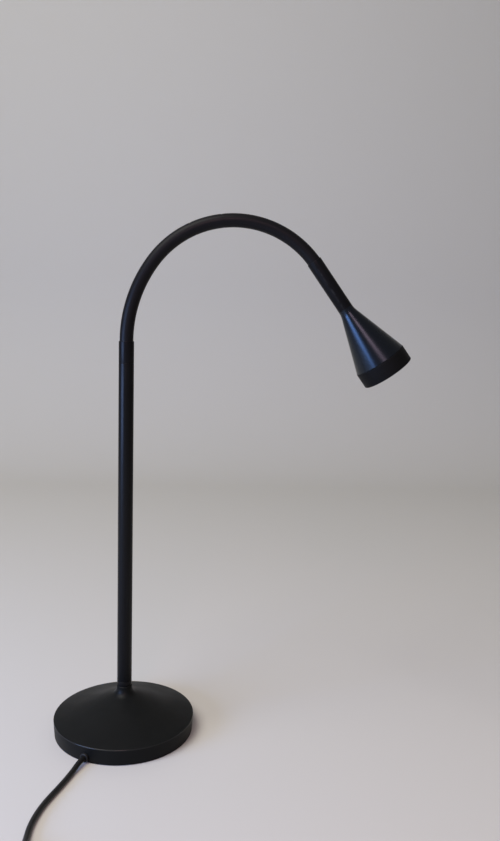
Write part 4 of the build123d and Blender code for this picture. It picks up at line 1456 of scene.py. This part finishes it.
    def build(self) -> None:
        """Make every length of sleeve over its bend."""
        pitch = self.length / self.bends
        for index in range(1, self.bends + 1):
            below = "base" if index == 1 else f"arm_{index - 1}"
            above = "head" if index == self.bends else f"arm_{index}"
            if index in self.halved:
                self.halves(index, below, above)
                continue
            low, high = (index - 1) * pitch, index * pitch
            piece = self.tube(f"sleeve_length_{index}", spread(low, high, self.rings), self.plain_wall)
            self.shop.dress(piece, SLEEVE_BLACK)
            tuple(self.point(low))
            tuple(self.point(high))
            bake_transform(piece)
            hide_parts(f"arm_sleeve_{index}")
            LOG.info("%s bends between %s and %s", piece.name, below, above)


# Head


@dataclass
class SpotHead:
    """The head: collar, conical shade, front ring, lens and faceted reflector."""

    shop: Workshop
    arm: BendableArm
    tuck: float = 0.004
    collar_radius: float = 0.007
    collar_length: float = 0.0518
    mouth_radius: float = 0.00645
    mouth_depth: float = 0.0044
    socket_radius: float = 0.0048
    socket_depth: float = 0.02
    spigot: float = 0.01
    spigot_radius: float = 0.005
    lead_bore: float = 0.0026
    back_radius: float = 0.007
    front_radius: float = 0.02485
    shade_length: float = 0.058
    neck_length: float = 0.0035
    neck_blend: float = 0.02
    wall: float = 0.0018
    thread_radius: float = 0.0231
    thread_wall: float = 0.0015
    ring_length: float = 0.0146
    ring_radius: float = 0.02505
    ring_bore: float = 0.0232
    lip: float = 0.0018
    lens_thickness: float = 0.0026
    flange: float = 0.001
    reflector_front: float = 0.0203
    reflector_back: float = 0.0046
    reflector_wall: float = 0.0009
    led_front: float = 0.0936
    led_side: float = 0.007
    led_height: float = 0.001
    dome_radius: float = 0.0026
    dome_sink: float = 0.0004
    dome_steps: int = 8
    seat_room: float = 0.0001
    mouth_edge: float = 0.0003
    shoulder_edge: float = 0.0001
    shade_edge: float = 0.0005
    ring_edge: float = 0.0004
    lip_edge: float = 0.0006
    lens_room: float = 0.0003
    lens_edge: float = 0.0003
    lens_dome: float = 0.0009
    domed_share: float = 0.86
    facet_rows: int = 9
    facets_round: int = 32
    led_edge: float = 0.0002
    led_corner: float = 0.0003
    corner_growth: float = 2.9
    well_depth: float = 0.0003

    def axis(self) -> TurningAxis:
        """Axis of the head, from the collar's start."""
        way = self.arm.direction(self.arm.length)
        return TurningAxis(self.arm.point(self.arm.length) - way * self.tuck, way)

    def lens_start(self) -> float:
        """Distance of the lens's inner face along the head's axis."""
        return self.collar_length + self.shade_length + self.ring_length - self.lip - self.lens_thickness

    def collar(self, axis: TurningAxis) -> bpy.types.Object:
        """Make the collar between the arm and the shade.

        Args:
            axis: the head's axis.

        Returns:
            The collar.
        """
        end = self.mouth_depth + self.socket_depth
        corners = [
            (self.mouth_radius, 0.0),
            (self.collar_radius, 0.0),
            (self.collar_radius, self.collar_length),
            (self.spigot_radius, self.collar_length),
            (self.spigot_radius, self.collar_length + self.spigot),
            (self.lead_bore, self.collar_length + self.spigot),
            (self.lead_bore, end),
            (self.socket_radius, end),
            (self.socket_radius, self.mouth_depth),
            (self.mouth_radius, self.mouth_depth),
        ]
        radii = [0.0, self.mouth_edge, self.shoulder_edge] + [0.0] * 7
        return axis.turn("head_tube", rounded(corners, radii, 5), 96)

    def shade(self, axis: TurningAxis) -> bpy.types.Object:
        """Make the conical shade with its thread for the front ring.

        Args:
            axis: the head's axis.

        Returns:
            The shade.
        """
        start = self.collar_length
        end = start + self.shade_length
        cone_start = start + self.neck_length
        slope = (self.front_radius - self.back_radius) / (end - cone_start)
        across = self.wall * math.hypot(1.0, slope)
        shoulder = start + self.spigot
        thread_end = end + self.ring_length - self.lip - self.lens_thickness - self.flange
        inner = self.thread_radius - self.thread_wall
        corners = [
            (self.spigot_radius + self.seat_room, start),
            (self.back_radius, start),
            (self.back_radius, cone_start),
            (self.front_radius, end),
            (self.thread_radius, end),
            (self.thread_radius, thread_end),
            (inner, thread_end),
            (inner, cone_start + (inner + across - self.back_radius) / slope),
            (self.back_radius + (shoulder - cone_start) * slope - across, shoulder),
            (self.spigot_radius + self.seat_room, shoulder),
        ]
        radii = [0.0, 0.0, self.neck_blend, self.shade_edge] + [0.0] * 6
        return axis.turn("shade_cone", rounded(corners, radii, 8), 160)

    def ring(self, axis: TurningAxis) -> bpy.types.Object:
        """Make the front ring with the lip over the lens.

        Args:
            axis: the head's axis.

        Returns:
            The ring.
        """
        start = self.collar_length + self.shade_length
        end = start + self.ring_length
        corners = [
            (self.ring_bore, start),
            (self.ring_radius, start),
            (self.ring_radius, end),
            (self.ring_bore - self.lip, end),
            (self.ring_bore - self.lip, end - self.lip),
            (self.ring_bore, end - self.lip),
        ]
        radii = [0.0, self.ring_edge, self.lip_edge, self.ring_edge, 0.0, 0.0]
        return axis.turn("lens_ring", rounded(corners, radii, 6), 160)

    def glass(self, axis: TurningAxis) -> bpy.types.Object:
        """Make the clear lens, slightly domed inside.

        Args:
            axis: the head's axis.

        Returns:
            The lens.
        """
        start = self.lens_start()
        end = start + self.lens_thickness
        radius = self.ring_bore - self.lens_room
        dome: list[Point2] = []
        for step in range(self.dome_steps + 1):
            share = step / self.dome_steps
            dome.append((radius * self.domed_share * share, start + self.lens_dome * share * share))
        rim = [
            (radius, start + self.lens_dome),
            (radius, end - self.lens_edge),
            (radius - self.lens_edge, end),
            (0.0, end),
        ]
        return axis.turn("front_lens", dome + rim, 96, closed=False)

    def facets(self, axis: TurningAxis) -> bpy.types.Object:
        """Make the parabolic reflector with rows of flat facets inside and a smooth back.

        Args:
            axis: the head's axis.

        Returns:
            The reflector.
        """
        lens_start = self.lens_start()
        flange_start = lens_start - self.flange
        gain = (self.reflector_front**2 - self.reflector_back**2) / (flange_start - self.led_front)
        profile: list[Point2] = []
        for radius in spread(self.reflector_back, self.reflector_front, self.facet_rows):
            profile.append((radius, self.led_front + (radius**2 - self.reflector_back**2) / gain))
        back = [(radius + self.reflector_wall, distance) for radius, distance in reversed(profile)]
        rim = [
            (self.reflector_front, lens_start),
            (self.thread_radius - self.seat_room, lens_start),
            (self.thread_radius - self.seat_room, flange_start),
        ]
        return axis.turn("faceted_bowl", profile + rim + back, self.facets_round, lay=Lay.FACETED)

    def light(self, axis: TurningAxis) -> tuple[bpy.types.Object, bpy.types.Object]:
        """Make the LED's square package and the phosphor dome on it.

        Args:
            axis: the head's axis.

        Returns:
            The package and the dome.
        """
        seat = Seat(axis.origin + axis.direction * self.led_front, axis.side, axis.direction)
        half = self.led_side / 2
        well = half - self.dome_radius
        sections = [(0.0, -self.led_height)]
        sections += [(inward, -drop) for inward, drop in edge_steps(self.led_edge, 3)]
        sections += [(well - 2 * self.led_edge, 0.0), (well - self.led_edge, -self.well_depth)]
        rings: list[list[Vector]] = []
        for inward, height in sections:
            corner = max(self.led_corner, inward * self.corner_growth)
            outline = rounded_rectangle(half - inward, half - inward, corner)
            rings.append([seat.at(x, y, height) for x, y in outline])
        package = loft("led_package", rings)
        dome = [(self.dome_radius, self.led_front - self.dome_sink)]
        for step in range(self.dome_steps + 1):
            angle = math.pi / 2 * step / self.dome_steps
            height = self.led_front + self.dome_radius * math.sin(angle)
            dome.append((self.dome_radius * math.cos(angle), height))
        dome[-1] = (0.0, self.led_front + self.dome_radius)
        return package, axis.turn("led_dome", dome, 48, closed=False)

    def build(self) -> None:
        """Make the head's turned pieces and its LED."""
        axis = self.axis()
        for make, finish, slot, node in (
            (self.collar, COLLAR_BLACK, "collar_black", "head_collar"),
            (self.shade, SHADE_BLACK, "shade_black", "shade"),
            (self.ring, RING_BLACK, "ring_black", "front_ring"),
            (self.glass, CLEAR_LENS, "lens", "lens"),
            (self.facets, BRIGHT_COATING, "reflector", "reflector"),
        ):
            self.shop.mount(make(axis), finish, slot, "head", node)
        package, dome = self.light(axis)
        self.shop.mount(package, BOARD_WHITE, "led", "head", "led_emitter")
        self.shop.mount(dome, LED_YELLOW, "led", "head")


# Switch and plug


@dataclass
class InlineSwitch:
    """The switch in the cord: cover, rocker, ribbed ends and screws."""

    shop: Workshop
    cord: MainsCord
    body_length: float = 0.05
    width: float = 0.024
    height: float = 0.015
    split: float = 0.0065
    corner: float = 0.007
    wall: float = 0.002
    edge: float = 0.0012
    relief_radius: float = 0.0046
    relief_end: float = 0.0034
    relief_seat: float = 0.0002
    rocker_radius: float = 0.0096
    rocker_width: float = 0.01
    rocker_gap: float = 0.0005
    pivot_drop: float = 0.003
    rest_tilt: float = 8.0
    top_angle: float = 22.0
    bottom_angle: float = 12.0
    dip: float = 0.0012
    dip_round: float = 0.012
    rocker_edge: float = 0.0005
    rocker_foot_edge: float = 0.0003
    rocker_steps: int = 6
    groove: float = 0.00025
    window_edge: float = 0.0004
    post: Point2 = (0.0175, 0.0065)
    screw: SocketScrew = SocketScrew(
        head_radius=0.0021, head_height=0.001, shank_radius=0.0012, shank_length=0.008, countersunk=False
    )

    def middle(self, height: float) -> Vector:
        """Middle of the switch at a height."""
        point = Vector(self.cord.switch_start) + self.cord.switch_way() * self.cord.switch_length / 2
        return Vector((point.x, point.y, height))

    def cover(self) -> bpy.types.Object:
        """Make the upper shell with its window, as one closed loft.

        Returns:
            The shell.
        """
        seat = Seat(self.middle(0.0), self.cord.switch_way())
        half_x, half_y = self.body_length / 2, self.width / 2
        groove, edge = self.groove, self.window_edge
        window_x = self.rocker_radius + self.rocker_gap
        window_y = self.rocker_width / 2 + self.rocker_gap
        sections = [(half_x - groove, half_y - groove, self.corner - groove, self.split)]
        sections.append((half_x, half_y, self.corner, self.split + groove))
        for inward, drop in edge_steps(self.edge):
            sections.append((half_x - inward, half_y - inward, self.corner - inward, self.height - drop))
        sections.append((window_x + edge, window_y + edge, 2 * edge, self.height))
        sections.append((window_x, window_y, edge, self.height - edge))
        sections.append((window_x, window_y, edge, self.height - self.wall))
        inner_x, inner_y = half_x - self.wall, half_y - self.wall
        sections.append((inner_x, inner_y, self.corner - self.wall, self.height - self.wall))
        sections.append((inner_x, inner_y, self.corner - self.wall, self.split))
        rings: list[list[Vector]] = []
        for wide_x, wide_y, radius, z in sections:
            rings.append([seat.at(x, y, z) for x, y in rounded_rectangle(wide_x, wide_y, radius)])
        return loft("switch_top", rings, closed=True, crease=40.0)

    def rocker(self) -> bpy.types.Object:
        """Make the rocker, tilted to its pressed side.

        Returns:
            The rocker.
        """
        pivot = self.middle(self.height - self.pivot_drop)
        tilt = math.radians(self.rest_tilt)
        way = self.cord.switch_way()
        ahead = way * math.cos(tilt) + Vector((0.0, 0.0, math.sin(tilt)))
        seat = Seat(pivot, ahead, way.cross(Vector((0.0, 0.0, 1.0))))
        right: list[Point2] = []
        for degrees in spread(self.top_angle, -self.bottom_angle, self.rocker_steps):
            angle = math.radians(degrees)
            right.append((self.rocker_radius * math.cos(angle), self.rocker_radius * math.sin(angle)))
        left = [(-x, y) for x, y in reversed(right)]
        corners = right + left + [(0.0, right[0][1] - self.dip)]
        edge, foot, flat = self.rocker_edge, self.rocker_foot_edge, [0.0] * (self.rocker_steps - 1)
        radii = [edge, *flat, foot, foot, *flat, edge, self.dip_round]
        outline = rounded(corners, radii, 5)
        half = self.rocker_width / 2
        rings: list[list[Vector]] = []
        stations = edge_steps(edge, 4)
        for inward, drop in reversed(stations):
            rings.append([seat.at(x, y, -half + drop) for x, y in inset(outline, inward)])
        for inward, drop in stations:
            rings.append([seat.at(x, y, half - drop) for x, y in inset(outline, inward)])
        return loft("switch_rocker", rings)

    def build(self) -> None:
        """Make the switch's pieces on the lower shell that stays."""
        self.shop.mount(self.cover(), PLASTIC_BLACK, "black_plastic", "base", "switch_cover")
        self.shop.mount(self.rocker(), ROCKER_BLACK, "black_plastic", "rocker", "rocker")
        relief_length = (self.cord.switch_length - self.body_length) / 2 + self.relief_seat * 2
        relief = RibbedRelief(self.relief_radius, self.relief_end, relief_length, self.cord.bore())
        way = self.cord.switch_way()
        level = self.cord.switch_start[2]
        ends = []
        for index, sign in enumerate((-1, 1)):
            start = self.middle(level) + way * sign * (self.body_length / 2 - self.relief_seat)
            ends.append(relief.build(f"relief_{index}", start, way * sign))
        self.shop.mount(joined("switch_reliefs", ends), CORD_BLACK, "black_plastic", "base")
        seat = Seat(self.middle(0.0), way)
        screws = []
        for index, sign in enumerate((1, -1)):
            place = seat.at(sign * self.post[0], sign * self.post[1], self.wall / 2)
            screws.append(self.screw.build(f"shell_screw_{index}", Seat(place, way)))
        fixing = joined("switch_shell_screws", screws)
        self.shop.mount(fixing, ZINC_STEEL, "steel", "base", "switch_screws")


@dataclass
class MainsPlug:
    """The moulded two-pin plug with its ribbed relief."""

    shop: Workshop
    cord: MainsCord
    length: float = 0.035
    width: float = 0.0353
    nose_width: float = 0.02
    relief_length: float = 0.03
    relief_radius: float = 0.006
    relief_end: float = 0.0034
    pin_radius: float = 0.002
    pin_length: float = 0.019
    pin_spacing: float = 0.0186
    pin_room: float = 0.00003
    pin_root: float = 0.004
    sleeve_length: float = 0.01
    sleeve_root: float = 0.001
    sleeve_edge: float = 0.0003
    sleeve_press: float = 0.0001
    corner: float = 0.0052
    corner_share: float = 0.85

    def start(self) -> Vector:
        """Point where the cord goes into the relief."""
        top = self.cord.coil_bottom(self.cord.rest + self.cord.coil_step)
        return top + Vector((self.cord.tail, 0.0, 0.0))

    def body(self) -> bpy.types.Object:
        """Make the moulded body as a loft along the plug.

        Returns:
            The body.
        """
        start = self.start()
        rear = self.relief_length
        stations = [
            (rear - 0.0002, 0.72 * self.nose_width / 2, 0.72),
            (rear + 0.0008, 0.93 * self.nose_width / 2, 0.84),
            (rear + 0.0022, self.nose_width / 2, 0.9),
            (rear + 0.25 * self.length, 0.62 * self.width / 2 + 0.0012, 0.95),
            (rear + 0.42 * self.length, 0.87 * self.width / 2, 0.985),
            (rear + 0.5 * self.length, 0.96 * self.width / 2, 1.0),
            (rear + 0.58 * self.length, 0.995 * self.width / 2, 1.0),
            (rear + 0.66 * self.length, self.width / 2, 1.0),
            (rear + self.length - 0.0012, self.width / 2, 1.0),
            (rear + self.length - 0.0004, self.width / 2 - 0.0004, 0.97),
            (rear + self.length, self.width / 2 - 0.0013, 0.87),
        ]
        rings: list[list[Vector]] = []
        for distance, half_width, share in stations:
            half_height = start.z * share
            radius = min(self.corner, half_height * self.corner_share)
            ring = []
            for y, z in rounded_rectangle(half_width, half_height, radius, 8):
                ring.append(start + Vector((distance, y, z)))
            rings.append(ring)
        return loft("plug_shell", rings, crease=50.0)

    def pins(self) -> tuple[bpy.types.Object, bpy.types.Object]:
        """Make the metal pins and their insulating sleeves.

        Returns:
            The pins and the sleeves.
        """
        face = self.start() + Vector((self.relief_length + self.length, 0.0, 0.0))
        along = Vector((1.0, 0.0, 0.0))
        metal, sleeves = [], []
        tip = self.pin_radius * 0.5
        for index, sign in enumerate((-1, 1)):
            origin = face + Vector((0.0, sign * self.pin_spacing / 2, 0.0))
            axis = TurningAxis(origin, along)
            radius = self.pin_radius - self.pin_room
            pin = [(0.0, -self.pin_root), (radius, -self.pin_root), (radius, self.pin_length - tip)]
            pin += [(radius - inward, self.pin_length - drop) for inward, drop in edge_steps(tip, 6)]
            pin.append((0.0, self.pin_length))
            metal.append(axis.turn(f"pin_{index}", pin, 40, closed=False))
            bore = radius - self.sleeve_press
            sleeve = [
                (bore, -self.sleeve_root),
                (self.pin_radius, -self.sleeve_root),
                (self.pin_radius, self.sleeve_length - self.sleeve_edge),
                (bore, self.sleeve_length),
            ]
            sleeves.append(axis.turn(f"pin_sleeve_{index}", sleeve, 40))
        return joined("plug_pins_metal", metal), joined("plug_pin_sleeves", sleeves)

    def build(self) -> None:
        """Make the plug's pieces."""
        relief = RibbedRelief(
            self.relief_radius,
            self.relief_end,
            self.relief_length,
            self.cord.bore(),
            ribs=9,
            rib_depth=0.0007,
        )
        rear = self.start() + Vector((self.relief_length, 0.0, 0.0))
        collar = relief.build("plug_relief", rear, Vector((-1.0, 0.0, 0.0)))
        self.shop.mount(self.body(), PLASTIC_BLACK, "black_plastic", "base", "plug_body")
        self.shop.mount(collar, PLASTIC_BLACK, "black_plastic", "base")
        metal, sleeves = self.pins()
        self.shop.mount(metal, BRASS, "brass", "base", "plug_pins")
        self.shop.mount(sleeves, PLASTIC_BLACK, "black_plastic", "base")


# Details of the base


@dataclass
class BaseFittings:
    """The boss round the cord and the screws of the bottom plate."""

    shop: Workshop
    cord: MainsCord
    boss_radius: float = 0.0042
    boss_stand: float = 0.0026
    boss_round: float = 0.0009
    mouth_edge: float = 0.0003
    neck_radius: float = 0.0031
    inner_end: float = 0.0612
    plate_bottom: float = 0.0012
    screw_ring: float = 0.0513
    screw_count: int = 3
    screw: SocketScrew = SocketScrew(
        head_radius=0.00275, head_height=0.0014, shank_radius=0.0015, shank_length=0.0076, countersunk=True
    )

    def boss(self) -> bpy.types.Object:
        """Make the round boss that the cord leaves through.

        Returns:
            The boss.
        """
        centre = Vector((0.0, 0.0, self.cord.exit_height))
        axis = TurningAxis(centre, self.cord.exit_way(), Vector((0.0, 0.0, 1.0)))
        end = self.cord.exit_reach
        seat = end - self.boss_stand
        bore = self.cord.bore()
        profile = [
            (bore, self.inner_end),
            (self.neck_radius, self.inner_end),
            (self.neck_radius, seat),
            (self.boss_radius, seat),
        ]
        for inward, drop in edge_steps(self.boss_round, 6):
            profile.append((self.boss_radius - inward, end - drop))
        profile += [(bore + self.mouth_edge, end), (bore, end - self.mouth_edge)]
        return axis.turn("cord_boss", profile, 56)

    def build(self) -> None:
        """Make the boss and the three screws."""
        boss = self.boss()
        heads = []
        for index in range(self.screw_count):
            share = (index + 0.5) / self.screw_count
            angle = math.radians(self.cord.exit_azimuth + 360 * share)
            x, y = self.screw_ring * math.cos(angle), self.screw_ring * math.sin(angle)
            place = Vector((x, y, self.plate_bottom))
            heads.append(self.screw.build(f"foot_screw_{index}", Seat(place, Vector((1.0, 0.0, 0.0)))))
        self.shop.mount(boss, PLASTIC_BLACK, "black_plastic", "base", "cord_bushing")
        self.shop.mount(joined("foot_screws", heads), ZINC_STEEL, "steel", "base", "plate_screws")


def main() -> None:
    """Build the view, the cord and the lamp, then dress the nodes that stay."""
    logging.basicConfig(level=logging.INFO, format="%(message)s")
    bpy.context.scene.view_settings.view_transform = "Standard"
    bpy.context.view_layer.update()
    shop = Workshop()
    PhotographView().build()
    cord = MainsCord(shop)
    Studio().build()
    WeightedBase(shop).build()
    BaseFittings(shop, cord).build()
    UprightStem(shop).build()
    arm = BendableArm(shop)
    arm.build()
    SpotHead(shop, arm).build()
    InlineSwitch(shop, cord).build()
    MainsPlug(shop, cord).build()
    cord.build()
    for node, finish in NODE_FINISHES.items():
        shop.dress_node(node, finish)


if __name__ == "__main__":
    main()
